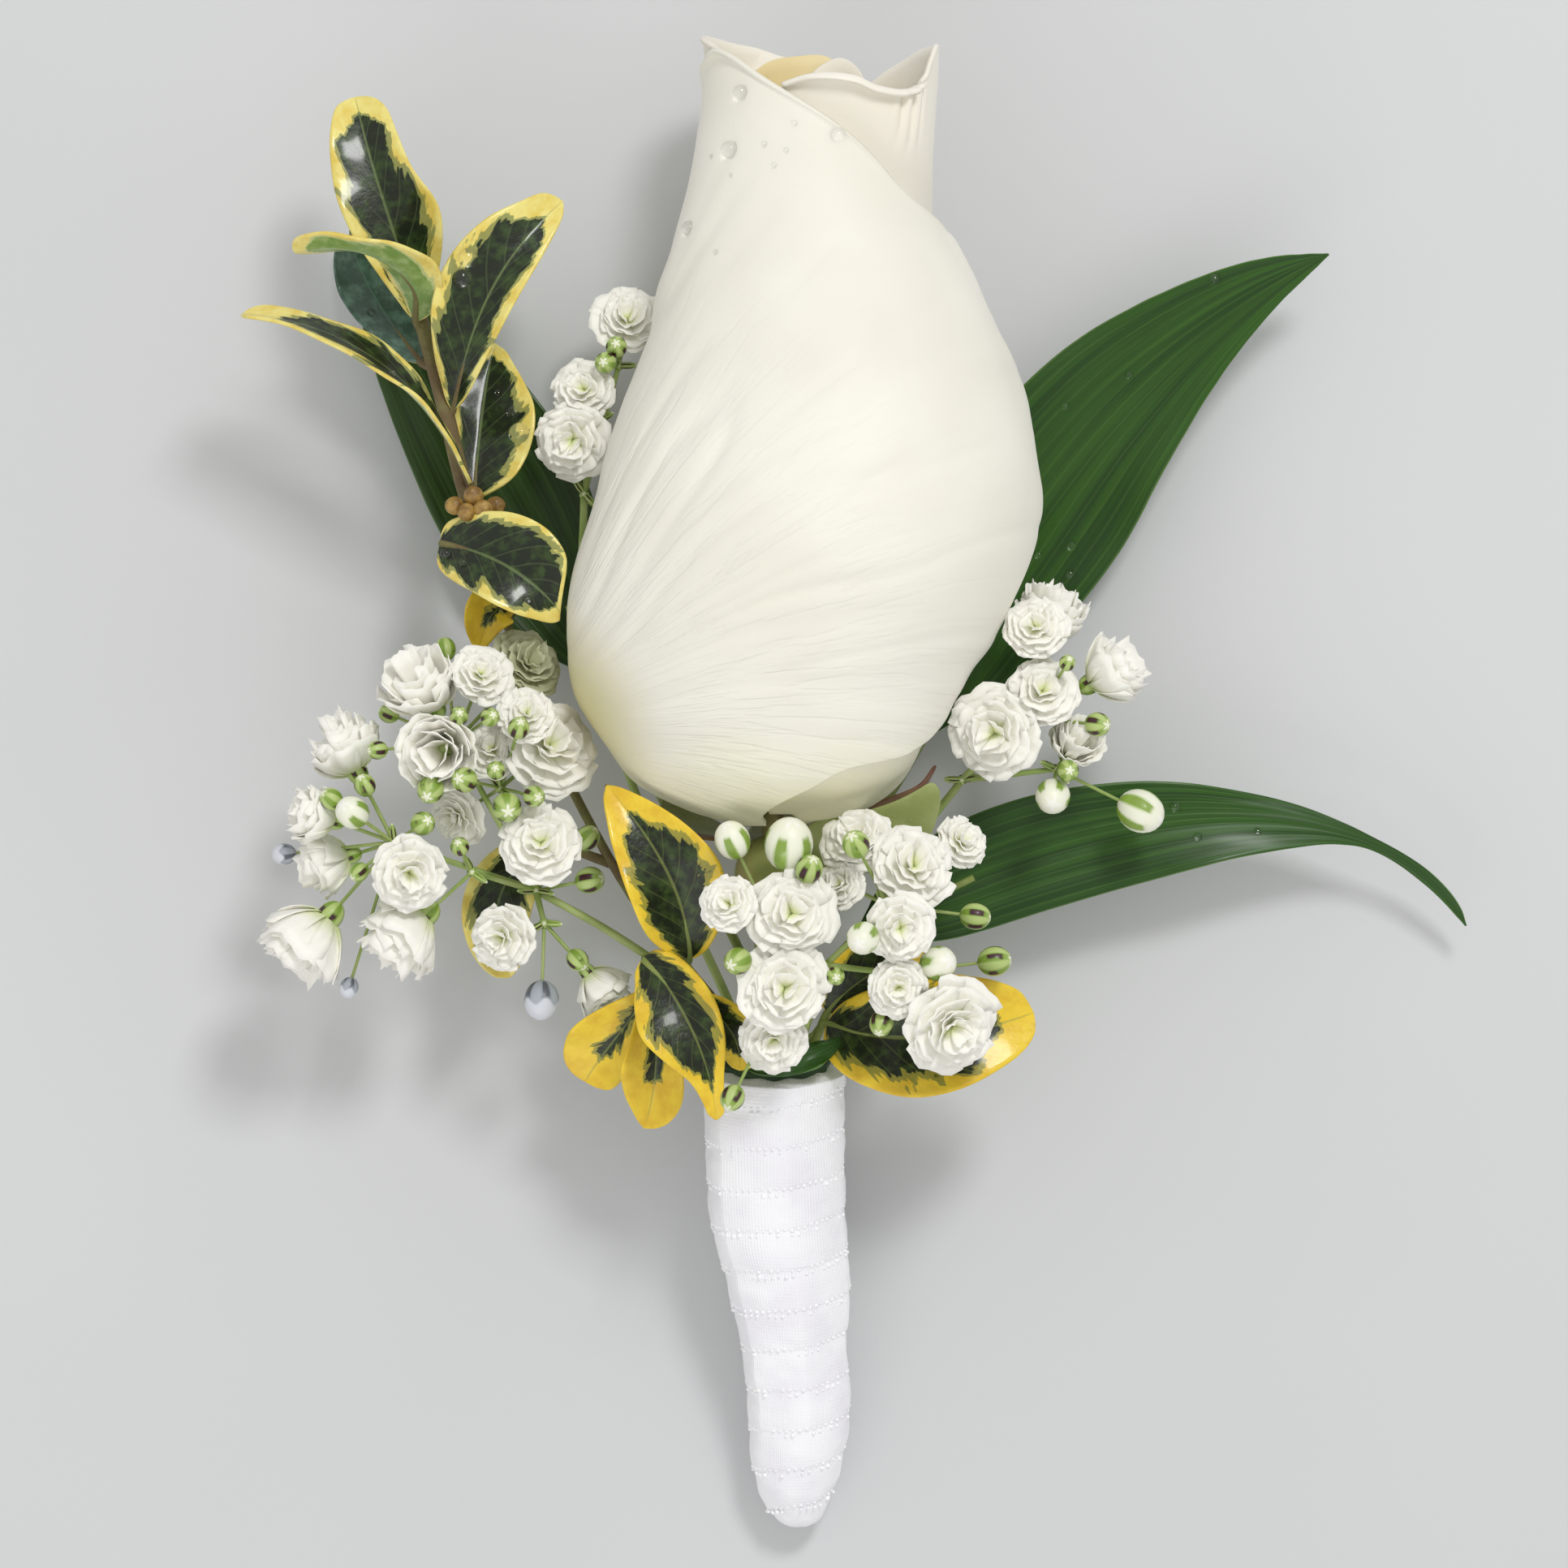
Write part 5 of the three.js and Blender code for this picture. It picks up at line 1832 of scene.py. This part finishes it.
OPEN = (
    Whorl(6, 1.0, 0.0, 0.62, 0.03),
    Whorl(6, 0.84, 0.07, 0.54, 0.12),
    Whorl(5, 0.64, 0.12, 0.44, 0.26),
    Whorl(4, 0.45, 0.16, 0.33, 0.36),
    Whorl(3, 0.27, 0.18, 0.21, 0.4),
)
HALF_OPEN = (
    Whorl(7, 0.98, -0.4, 0.6, 0.72),
    Whorl(6, 0.78, -0.36, 0.54, 0.9),
    Whorl(5, 0.55, -0.3, 0.42, 1.02),
    Whorl(3, 0.3, -0.26, 0.28, 1.08),
)


@dataclass
class BabysBreath:
    """Every spray of baby's breath, placed as in the solids."""

    bud: Bud = Bud()
    handle: Handle = Handle()
    swell: float = 1.24
    variants: int = 6
    wall: float = 0.07
    white_from: float = 1.15
    sprays: tuple[Spray, ...] = (
        Spray(
            "babys_breath_left",
            3,
            [(-11.5, -15.6, 12.6), (-18, -11, 13), (-24, -7.6, 13.6)],
            [(-28.7, -6.2, 14.6), (-26.6, 0, 14.6), (-34.5, -4, 14.6)]
            + [(-23.4, -10, 14), (-30, 3.4, 14)],
            # Blossoms: x, y, z and radius, then at times how far it faces up, and a last 1 where
            # it takes the painted shade copy of the white.
            [(-32.2, 7.2, 16, 2.7, 0.15), (-28, 8.3, 17, 2.1), (-24.2, 9.1, 13, 2.5, 1.4, 1)]
            + [(-21.5, 3.1, 15.8, 3.4), (-24.6, 5.4, 18, 2), (-30.9, 2.8, 18, 2.6, 0.3)]
            + [(-38, 2.6, 14, 2.6, 0.1), (-40.1, -2, 15, 2.1, 0.2)]
            + [(-39.1, -5.4, 12.6, 2.2, 0.3)]
            + [(-33.2, -6.2, 18.6, 2.6), (-33.5, -10.6, 15, 3, 0.0), (-40.6, -11, 14, 3.2, 0.1)]
            + [(-23.5, -4.1, 18, 2.8), (-26.4, -11, 16, 2.3), (-29.9, -2, 13, 2.1)]
            + [(-19.4, -14.6, 12.6, 2, 0.1), (-27.2, 2.8, 16, 2)],
            [(-30.8, 10.3, 12, 0.8), (-34.9, 5.5, 14, 0.7), (-29.5, 5.3, 19, 0.7)]
            + [(-27.2, 5.2, 20, 0.7), (-26.8, 1.3, 19, 0.7), (-31.6, -0.1, 19, 1)]
            + [(-37.4, -1.8, 18, 1.2), (-35.6, 2.8, 17, 0.7), (-37, -6.2, 16, 0.7)]
            + [(-29.5, -4.3, 18, 0.7), (-26, -1.4, 19, 1.1), (-20.2, -3.7, 14.6, 0.9)]
            + [(-20, -6.8, 15, 1), (-42.7, -4.9, 13, 0.8), (-37.9, -14.8, 13, 0.7)]
            + [(-23.6, -15.7, 14, 1.3), (-25.1, 4.4, 20, 0.8), (-36.5, 0.2, 17.6, 0.8)]
            + [(-39, -0.8, 17, 0.8), (-29.1, 0.6, 19.6, 0.95), (-24, -0.6, 19.4, 0.8)]
            + [(-20.9, -12.7, 15, 0.8), (-32.2, -2.6, 18.6, 0.9)],
            dried=(13, 14, 15),
        ),
        Spray(
            "babys_breath_centre",
            1,
            [(-4, -17.4, 16.6), (-2.6, -13, 19)],
            [(-6, -11, 20), (2, -8.6, 20), (2.6, -13.6, 19.6), (-6, -15.8, 19.8)],
            [(-9.6, -8.4, 24.6, 1.9), (-5.1, -9.2, 24, 3), (-0.2, -3.8, 20.6, 2.4)]
            + [(3.8, -5.8, 22, 2.8), (2.8, -10.2, 24.6, 2.4), (-1.4, -7, 21.6, 1.7)]
            + [(-5.6, -14.6, 24.4, 3), (-6.4, -18.3, 22.4, 2.3), (2.7, -14.5, 23.4, 2)]
            + [(6.6, -17.3, 22.8, 3.2), (7.4, -4, 18.6, 1.9)],
            [(-9.4, -3.8, 23, 1.3), (-5.3, -4.1, 23, 1.8), (-3.8, -5.9, 24, 1)]
            + [(-0.4, -4.1, 25, 1), (0.1, -10.9, 26, 1.2), (8.4, -9.4, 19.6, 1)]
            + [(9.8, -12.7, 19.4, 1.1), (5.6, -12.8, 23, 1.3), (-9, -12.6, 24.4, 1)]
            + [(1.5, -17.2, 22, 0.9), (-1.9, -13.7, 24, 0.7), (-9.4, -22.6, 23.4, 0.9)],
        ),
        Spray(
            "babys_breath_right",
            9,
            [(-1.6, -15.6, 10.6), (3.6, -5, 9.4), (7.6, 0.6, 10)],
            [(9.6, 3, 11), (13, 5.2, 12.4), (14.6, 1.4, 12)],
            [(9.4, 4.1, 16.6, 3.1), (14.2, 12.6, 11.6, 2.5, 0.3), (12.4, 11.8, 16.4, 2.2)]
            + [(13.4, 7.1, 16, 2.5, 0.4), (18.3, 8.5, 14, 2.5, 0.0)]
            + [(15.8, 3.2, 13.6, 1.9, 0.2)],
            [(17.5, 4.7, 16, 0.9), (15.2, 9.2, 18, 0.6), (15.3, 1.3, 17, 0.8)]
            + [(14.2, -0.6, 16, 1.3), (20.8, -1.7, 13, 1.6)],
        ),
        Spray(
            "babys_breath_upper",
            5,
            [(-9.6, -16.4, 8.8), (-13, -9, 7.8), (-16.9, 0, 7), (-20.5, 12, 6.8)]
            + [(-20.6, 22, 7.6)],
            [(-19.6, 27.4, 7.6), (-18, 31.6, 7.6)],
            [(-17, 34.9, 9, 2.4), (-20.5, 29.6, 10.6, 2.2), (-20.4, 25.9, 11.4, 2.6)],
            [(-18.1, 32.8, 11.4, 0.8), (-18.9, 31.6, 12, 0.8)],
        ),
    )

    def petal(self, bm: BMesh, turn: float, shape: Whorl, rng: random.Random) -> None:
        """Adds one thin notched petal of a blossom of radius 1.

        Args:
            bm: The mesh to add it to.
            turn: The way it points, in radians.
            shape: Its own length, foot, half width and rise.
            rng: The source of small changes.
        """
        phase, ruffle = rng.uniform(0, TAU), rng.uniform(0.025, 0.065)
        along = Vector((math.cos(turn), math.sin(turn), 0))
        side = Vector((-math.sin(turn), math.cos(turn), 0))

        def surface(u: float, v: float) -> Vector:
            """The petal's middle."""
            across = 2 * u - 1
            notch = 0.07 * (1 - abs(across)) ** 2 + 0.035 * math.sin(7 * across + phase)
            out = shape.reach * (0.06 + v * (0.94 - notch * v))
            out -= shape.reach * 0.3 * across**2 * v**2
            half = shape.wide * (0.1 + 0.9 * math.sin(math.pi / 2 * v) ** 0.8)
            up = shape.foot + shape.lift * v**1.5 + ruffle * v * math.sin(4.2 * across + phase)
            up += 0.09 * across**2 * v + 0.035 * math.sin(9 * across + 2 * phase) * v**3
            return along * out + side * (across * half) + Vector((0, 0, up))

        sheet(bm, 8, 5, surface)

    def blossom_form(self, seed: int, half_open: bool) -> bpy.types.Mesh:
        """One double blossom of radius 1 that faces up.

        Args:
            seed: Which variant.
            half_open: Whether its petals still stand up like a fan.

        Returns:
            Its mesh.
        """
        rng = random.Random(seed)
        bm = bmesh.new()
        for count, reach, foot, wide, lift in HALF_OPEN if half_open else OPEN:
            start = rng.uniform(0, TAU)
            for k in range(count):
                turn = start + (k + rng.uniform(-0.3, 0.3)) / count * TAU
                shape = Whorl(
                    1,
                    reach * rng.uniform(0.82, 1.04),
                    foot + rng.uniform(-0.03, 0.03),
                    wide * rng.uniform(0.85, 1.15),
                    lift * rng.uniform(0.7, 1.3),
                )
                self.petal(bm, turn, shape, rng)
        return mesh_of(bm, f"blossom_form_{seed}_{half_open}")

    def add_blossom(
        self,
        bm: BMesh,
        form: bpy.types.Mesh,
        centre: Vector,
        facing: Vector,
        radius: float,
        spin: float,
    ) -> None:
        """Places a blossom.

        Args:
            bm: The mesh to add it to.
            form: The blossom's form.
            centre: Its middle.
            facing: The way it opens.
            radius: Its radius.
            spin: Its turn about its own axis.
        """
        before = len(bm.verts)
        bm.from_mesh(form)
        bm.verts.ensure_lookup_table()
        matrix = (
            Matrix.Translation(centre)
            @ facing.to_track_quat("Z", "Y").to_matrix().to_4x4()
            @ Matrix.Rotation(spin, 4, "Z")
            @ Matrix.Scale(radius, 4)
        )
        bmesh.ops.transform(bm, matrix=matrix, verts=bm.verts[before:])

    def bracts(self, bm: BMesh, place: Vector, rng: random.Random) -> None:
        """Adds the little node and its two pointed bracts where a stalk branches.

        Args:
            bm: The mesh to add them to.
            place: The middle of the node.
            rng: The source of small changes.
        """
        ball(bm, place, Vector((0, 0, 1)), 0.4, 1.0, (10, 6))
        start = rng.uniform(0, TAU)
        for turn in (start, start + rng.uniform(2.4, 3.6)):
            way = Vector((math.cos(turn), math.sin(turn), 0.5))
            ball(bm, place + way * 0.6, way, 0.28, 3.2, (8, 6))

    def build_spray(
        self,
        spray: Spray,
        forms: Sequence[bpy.types.Mesh],
        fans: Sequence[bpy.types.Mesh],
        looks: dict[str, Material],
    ) -> None:
        """Builds and dresses one spray.

        Args:
            spray: Its plan.
            forms: The open blossom forms to choose from.
            fans: The half-open ones.
            looks: The finishes by name.
        """
        rng = random.Random(spray.name)
        stalks = bmesh.new()
        tubes = Tubes(stalks, 6)
        places = [self.bud.clear(p, STEM_ROOM) for p in vectors(spray.stem)]
        self.handle.plant(tubes, spray.slot, places, 0.38, 0.3)
        fork = Vector(spray.stem[-1])
        hubs = vectors(spray.hubs)
        for hub in hubs:
            if (hub - fork).length > 0.5:
                bow = fork.lerp(hub, 0.5) + Vector((0, 0, 0.6))
                tubes.add([fork, bow, hub], 0.26, 0.2, 8)
        petals, cups, buds, green, dried = (bmesh.new() for _ in range(5))

        def nearest(place: Vector) -> Vector:
            """The hub or fork that a stalk comes from."""
            return min([*hubs, fork], key=lambda hub: (hub - place).length)

        def stalk(hub: Vector, end: Vector, thick: float) -> None:
            """A thin stalk from a hub."""
            bow = hub.lerp(end, 0.55) + Vector((0, 0, -0.5))
            tubes.add([hub, bow, end], thick, thick * 0.85, 8)

        for x, y, z, radius, *lean in spray.blossoms:
            full = radius * self.swell
            centre = self.bud.clear(Vector((x, y, z)), full + 0.1)
            hub = nearest(centre)
            upward = lean[0] if lean else 1.4
            half_open = upward < 0.35
            facing = (centre - hub).normalized() + Vector((0, 0, upward))
            facing.normalize()
            stalk(hub, centre - facing * 0.55 * radius, 0.16)
            before = len(petals.faces)
            form = rng.choice(fans if half_open else forms)
            middle = centre - facing * 0.14 * radius
            self.add_blossom(petals, form, middle, facing, full, rng.uniform(0, TAU))
            petals.faces.ensure_lookup_table()
            # A blossom with a sixth value takes the darker copy of the white, which is painted
            # shade.
            for face in petals.faces[before:]:
                face.material_index = len(lean) // 2
            foot = centre - facing * (0.62 if half_open else 0.4) * radius
            ball(cups, foot, facing, radius * 0.31, 1.3, (20, 10))
        for k, (x, y, z, radius) in enumerate(spray.buds):
            centre = self.bud.clear(Vector((x, y, z)), radius + 0.45)
            hub = nearest(centre)
            stalk(hub, centre, 0.14)
            facing = (centre - hub).normalized() + Vector((0, 0, 0.12))
            round_bud = buds if radius > self.white_from else green
            kind = dried if k in spray.dried else round_bud
            ball(kind, centre, facing, radius, 1.15, (20, 12))
        for hub in [*hubs, fork]:
            self.bracts(green, hub, rng)
        node = spray.name
        whites = [looks["petals"], looks["shaded"]]
        piece_of(petals, node + "_petals", whites, Slot.BLOSSOM, [node], Shell(self.wall, 0))
        piece_of(cups, node + "_calyces", [looks["cups"]], Slot.BLOSSOM, [node])
        piece_of(green, node + "_green_buds", [looks["green"]], Slot.BLOSSOM, [node])
        if spray.dried:
            piece_of(dried, node + "_dried_buds", [looks["dried"]], Slot.BLOSSOM, [node])
        if any(bud[3] > self.white_from for bud in spray.buds):
            piece_of(buds, node + "_white_buds", [looks["buds"]], Slot.BLOSSOM, [node])
        piece_of(stalks, node + "_stalks", [looks["stalks"]], Slot.STEM, [node])

    def build(self) -> None:
        """Builds and dresses every spray."""
        looks = {
            "petals": BlossomFinish("blossom_white", "#fffdf4", "#cfdb86").material(),
            # A greyer, greener copy of the blossom white: painted shade for a blossom that lies in
            # shadow.
            "shaded": BlossomFinish("blossom_painted_shade", "#c9cba8", "#98a06a").material(),
            "cups": CalyxFinish(
                "calyx_green", "#7f9e38", "#b4c87a", "#3a1620", "#c3d08f", 0.92
            ).material(),
            "buds": CalyxFinish(
                "white_bud", "#8fb042", "#f1f2de", "#86a244", "#f8f7ee", 0.85, 0.8
            ).material(),
            "green": CalyxFinish(
                "green_bud", "#7f9e38", "#b6c97c", "#3e1a22", "#eef0d8", 0.86
            ).material(),
            "dried": CalyxFinish(
                "dried_bud", "#8f96a0", "#a9afb8", "#5c6068", "#d4d7de", 0.5
            ).material(),
            "stalks": PlainFinish("thin_stalk", "#94ab5a", "#aebd78", relief=0.04).material(),
        }
        forms = [self.blossom_form(seed, False) for seed in range(self.variants)]
        fans = [self.blossom_form(seed, True) for seed in range(self.variants)]
        for spray in self.sprays:
            self.build_spray(spray, forms, fans, looks)


# ---------------------------------------------------------------- stem, buds, tape


@dataclass(frozen=True)
class Sepal:
    """One sepal: where it stands, its twist in degrees, how it droops and tapers, its width."""

    angle: float
    twist: float = 0
    droop: float = 0
    taper: float = 0.9
    wide: float = 2.3
    finish: int = 0


@dataclass
class Calyx:
    """The rose's hip, its sepals and the stem that stands in the middle of the binding."""

    bud: Bud = Bud()
    handle: Handle = Handle()
    hip_radius: float = 2.8
    hip_length: float = 6.0
    stem_radius: float = 1.42
    course: Pairs = ((0.9, -2), (3, -1.25), (7, -0.7), (10.8, 0.8), (12.5, 3.2))
    sepals: tuple[Sepal, ...] = (
        Sepal(104, 40, -1.4, 0.9, 1.0, 1),
        Sepal(82, 66, 0.8, 0.62, 2.4),
        Sepal(176),
        Sepal(220),
        Sepal(262, finish=1),
    )

    def core_mesh(self) -> BMesh:
        """The hip and the stem.

        Returns:
            The mesh.
        """
        bud = self.bud
        top = bud.foot_y - 0.61
        x = bud.centres(0)
        bm = bmesh.new()
        centre = Vector((x, top - self.hip_length / 2, bud.axis_z))
        stretch = self.hip_length / 2 / self.hip_radius
        ball(bm, centre, Vector((0, 1, 0)), self.hip_radius, stretch, (28, 18))
        mouth, foot = self.handle.seat(-1)
        above = mouth + self.handle.axis * 2
        tubes = Tubes(bm, 18)
        tubes.add([foot, mouth, above, centre], self.stem_radius, self.stem_radius, 28)
        tubes.add([centre, Vector((x, bud.foot_y + 4, bud.axis_z))], 0.78, 0.78, 3)
        return bm

    def add_sepal(self, bm: BMesh, sepal: Sepal) -> None:
        """Adds one sepal, hugging the foot of the bud.

        Args:
            bm: The mesh to add it to.
            sepal: Its shape.
        """
        bud = self.bud
        line = [Vector((out, bud.foot_y + rise, 0)) for out, rise in self.course]
        turn = math.radians(sepal.angle)
        out = Vector((math.sin(turn), 0, math.cos(turn)))
        aside = Vector((math.cos(turn), 0, -math.sin(turn)))

        def surface(u: float, v: float) -> Vector:
            """The sepal's middle."""
            place = through(line, v)
            half = 0.12 + sepal.wide * math.sin(math.pi * min(0.1 + sepal.taper * v, 1)) ** 0.7
            half *= round_end((v - 0.72) / 0.28, 0.02)
            across = (2 * u - 1) * half
            turned = math.radians(sepal.twist) * ease(v * 2.5)
            flat = aside * math.cos(turned) + Vector((0, -1, 0)) * math.sin(turned)
            low = place.y - sepal.droop * ease(v * 1.5)
            middle = Vector((bud.centres(0), low, bud.axis_z))
            curl = 0.1 * abs(across) + 0.12 * math.sin(5 * v + across)
            return middle + out * place.x + flat * across + Vector((0, curl, 0))

        sheet(bm, 12, 22, surface, sepal.finish)

    def build(self) -> None:
        """Builds and dresses the hip, stem and sepals."""
        green = PlainFinish("rose_stem_green", "#8b9450", "#a49a62", 0.55).material()
        olive = PlainFinish("sepal_olive", "#a3ad6c", "#8f9a55", 0.6, sheen=0.3).material()
        node = ["rose_stem_with_calyx"]
        piece_of(self.core_mesh(), "rose_hip_and_stem", [green], Slot.STEM, node)
        red = PlainFinish("sepal_reddish", "#6e4632", "#86653c", 0.6, sheen=0.2).material()
        bm = bmesh.new()
        for sepal in self.sepals:
            self.add_sepal(bm, sepal)
        piece_of(bm, "rose_sepals", [olive, red], Slot.STEM, node, Shell(0.3, 1))


@dataclass
class BrownBuds:
    """The small cluster of brown buds on the upper sprig."""

    root: Triple = (-28.5, 20.8, 13.4)
    balls: tuple[Quad, ...] = (
        (-30, 20.9, 14.2, 0.7),
        (-28.6, 21.6, 14.5, 0.75),
        (-27, 20.9, 14.1, 0.7),
        (-29.1, 20.4, 14.9, 0.7),
        (-27.9, 20.6, 15, 0.75),
    )

    def build(self) -> None:
        """Builds and dresses the cluster."""
        bm = bmesh.new()
        for x, y, z, radius in self.balls:
            centre = Vector((x, y, z))
            ball(bm, centre, centre - Vector(self.root), radius, 1.1, (16, 12))
        brown = PlainFinish("brown_bud", "#b08d4a", "#7a5a28", 0.35, 1.2, 2.0, 0.4).material()
        piece_of(bm, "brown_buds", [brown], Slot.BROWN_BUD, ["brown_bud_cluster"])


@dataclass
class Dew:
    """Drops of water on the bud and the leaves: x, y and radius."""

    flatness: float = 0.82
    drops: tuple[Triple, ...] = (
        *((-8.8, 50.9, 0.6), (-9.6, 46.7, 0.7), (-1.7, 47.6, 0.6), (-12.6, 41.1, 0.6)),
        *((-10.9, 46.3, 0.24), (-9.5, 44.8, 0.2), (-7.1, 47, 0.26), (-5.5, 46.5, 0.22)),
        *((-6.4, 45.4, 0.24), (-4.9, 48.5, 0.26), (-10.6, 39.1, 0.26)),
        *((-29, 39.1, 0.75), (-29.4, 37.6, 0.7), (-25.2, 26.3, 0.8), (-25.7, 27.9, 0.5)),
        *((-26.9, 29.4, 0.25), (-30.6, 17.3, 0.4), (-29.3, 16.6, 0.3), (-24.6, 13.9, 0.3)),
        *((26.6, 38.1, 0.4), (15.5, 28.7, 0.3), (20.3, 31, 0.3), (16, 18.2, 0.4)),
        *((13.5, 17.5, 0.3), (15.9, 16.1, 0.35), (23.6, -1.4, 0.4), (25.3, -3.7, 0.35)),
        *((29.8, -3.3, 0.3), (-36.4, 35.3, 0.3), (-34.6, 30.4, 0.25)),
    )

    def build(self) -> None:
        """Builds and dresses the drops."""
        bm = bmesh.new()
        for x, y, radius in self.drops:
            spot = Tops.over(x, y)
            if spot is not None:
                place, facing = spot
                centre = place + facing * (0.15 + radius * 0.3)
                ball(bm, centre, facing, radius, self.flatness, (20, 12))
        drops = piece_of(bm, "dew_drops", [DewFinish("clear_water").material()], None)
        drops.visible_shadow = False


# ---------------------------------------------------------------- stage


@dataclass
class Studio:
    """A pale floor, soft lights and a camera that looks straight down."""

    centre: Triple = (-5.64, 0.3, 15.0)
    view_width: float = 115.92
    lens: float = 200.0
    sensor: float = 36.0
    surroundings: Quad = (1.0, 0.995, 0.985, 1.0)
    glow: float = 0.68

    def lamp(self, name: str, place: Triple, size: float, power: float) -> None:
        """Adds a soft lamp that looks at the part.

        Args:
            name: Its name.
            place: Where it hangs, in metres.
            size: Its side, in metres.
            power: Its power in watts.
        """
        data = bpy.data.lights.new(name, "AREA")
        data.size = size
        data.energy = power
        lamp = placed(name, data, place)
        lamp.rotation_euler = Vector(place).to_track_quat("Z", "Y").to_euler()

    def build(self) -> None:
        """Sets up the floor, the lights, the surroundings and the camera."""
        bm = bmesh.new()
        bmesh.ops.create_grid(bm, x_segments=1, y_segments=1, size=3.0)
        floor = placed("table_top", mesh_of(bm, "table_top"), (0, 0, -0.2 * MM))
        paint = PlainFinish("table_paint", "#d2d3d4", "#cecfd0", 0.85, 0.01, 0.5, 0.02)
        floor.data.materials.append(paint.material())
        self.lamp("key", (0.2, 0.42, 0.68), 0.16, 2.4)
        self.lamp("fill", (-0.3, -0.75, 0.5), 0.7, 1.7)
        world = bpy.data.worlds.new("surroundings")
        world.use_nodes = True
        backdrop = world.node_tree.nodes["Background"].inputs
        backdrop[0].default_value = self.surroundings
        backdrop[1].default_value = self.glow
        bpy.context.scene.world = world
        bpy.context.scene.view_settings.view_transform = "Standard"
        data = bpy.data.cameras.new("camera")
        data.lens = self.lens
        data.sensor_width = self.sensor
        x, y, z = (value * MM for value in self.centre)
        distance = self.lens / self.sensor * self.view_width * MM
        bpy.context.scene.camera = placed("camera", data, (x, y, z + distance))


def main() -> None:
    """Builds every piece in order."""
    logging.basicConfig(level=logging.INFO)
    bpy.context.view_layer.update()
    Rose().build()
    Calyx().build()
    Greenery().build()
    BrownBuds().build()
    BabysBreath().build()
    Ribbon().build()
    tape = PlainFinish("floral_tape", "#34502f", "#2a4228", 0.75, relief=0.25).material()
    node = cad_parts["floral_tape_binding"]
    node.data.materials.clear()
    node.data.materials.append(tape)
    Dew().build()
    Studio().build()


if __name__ == "__main__":
    main()
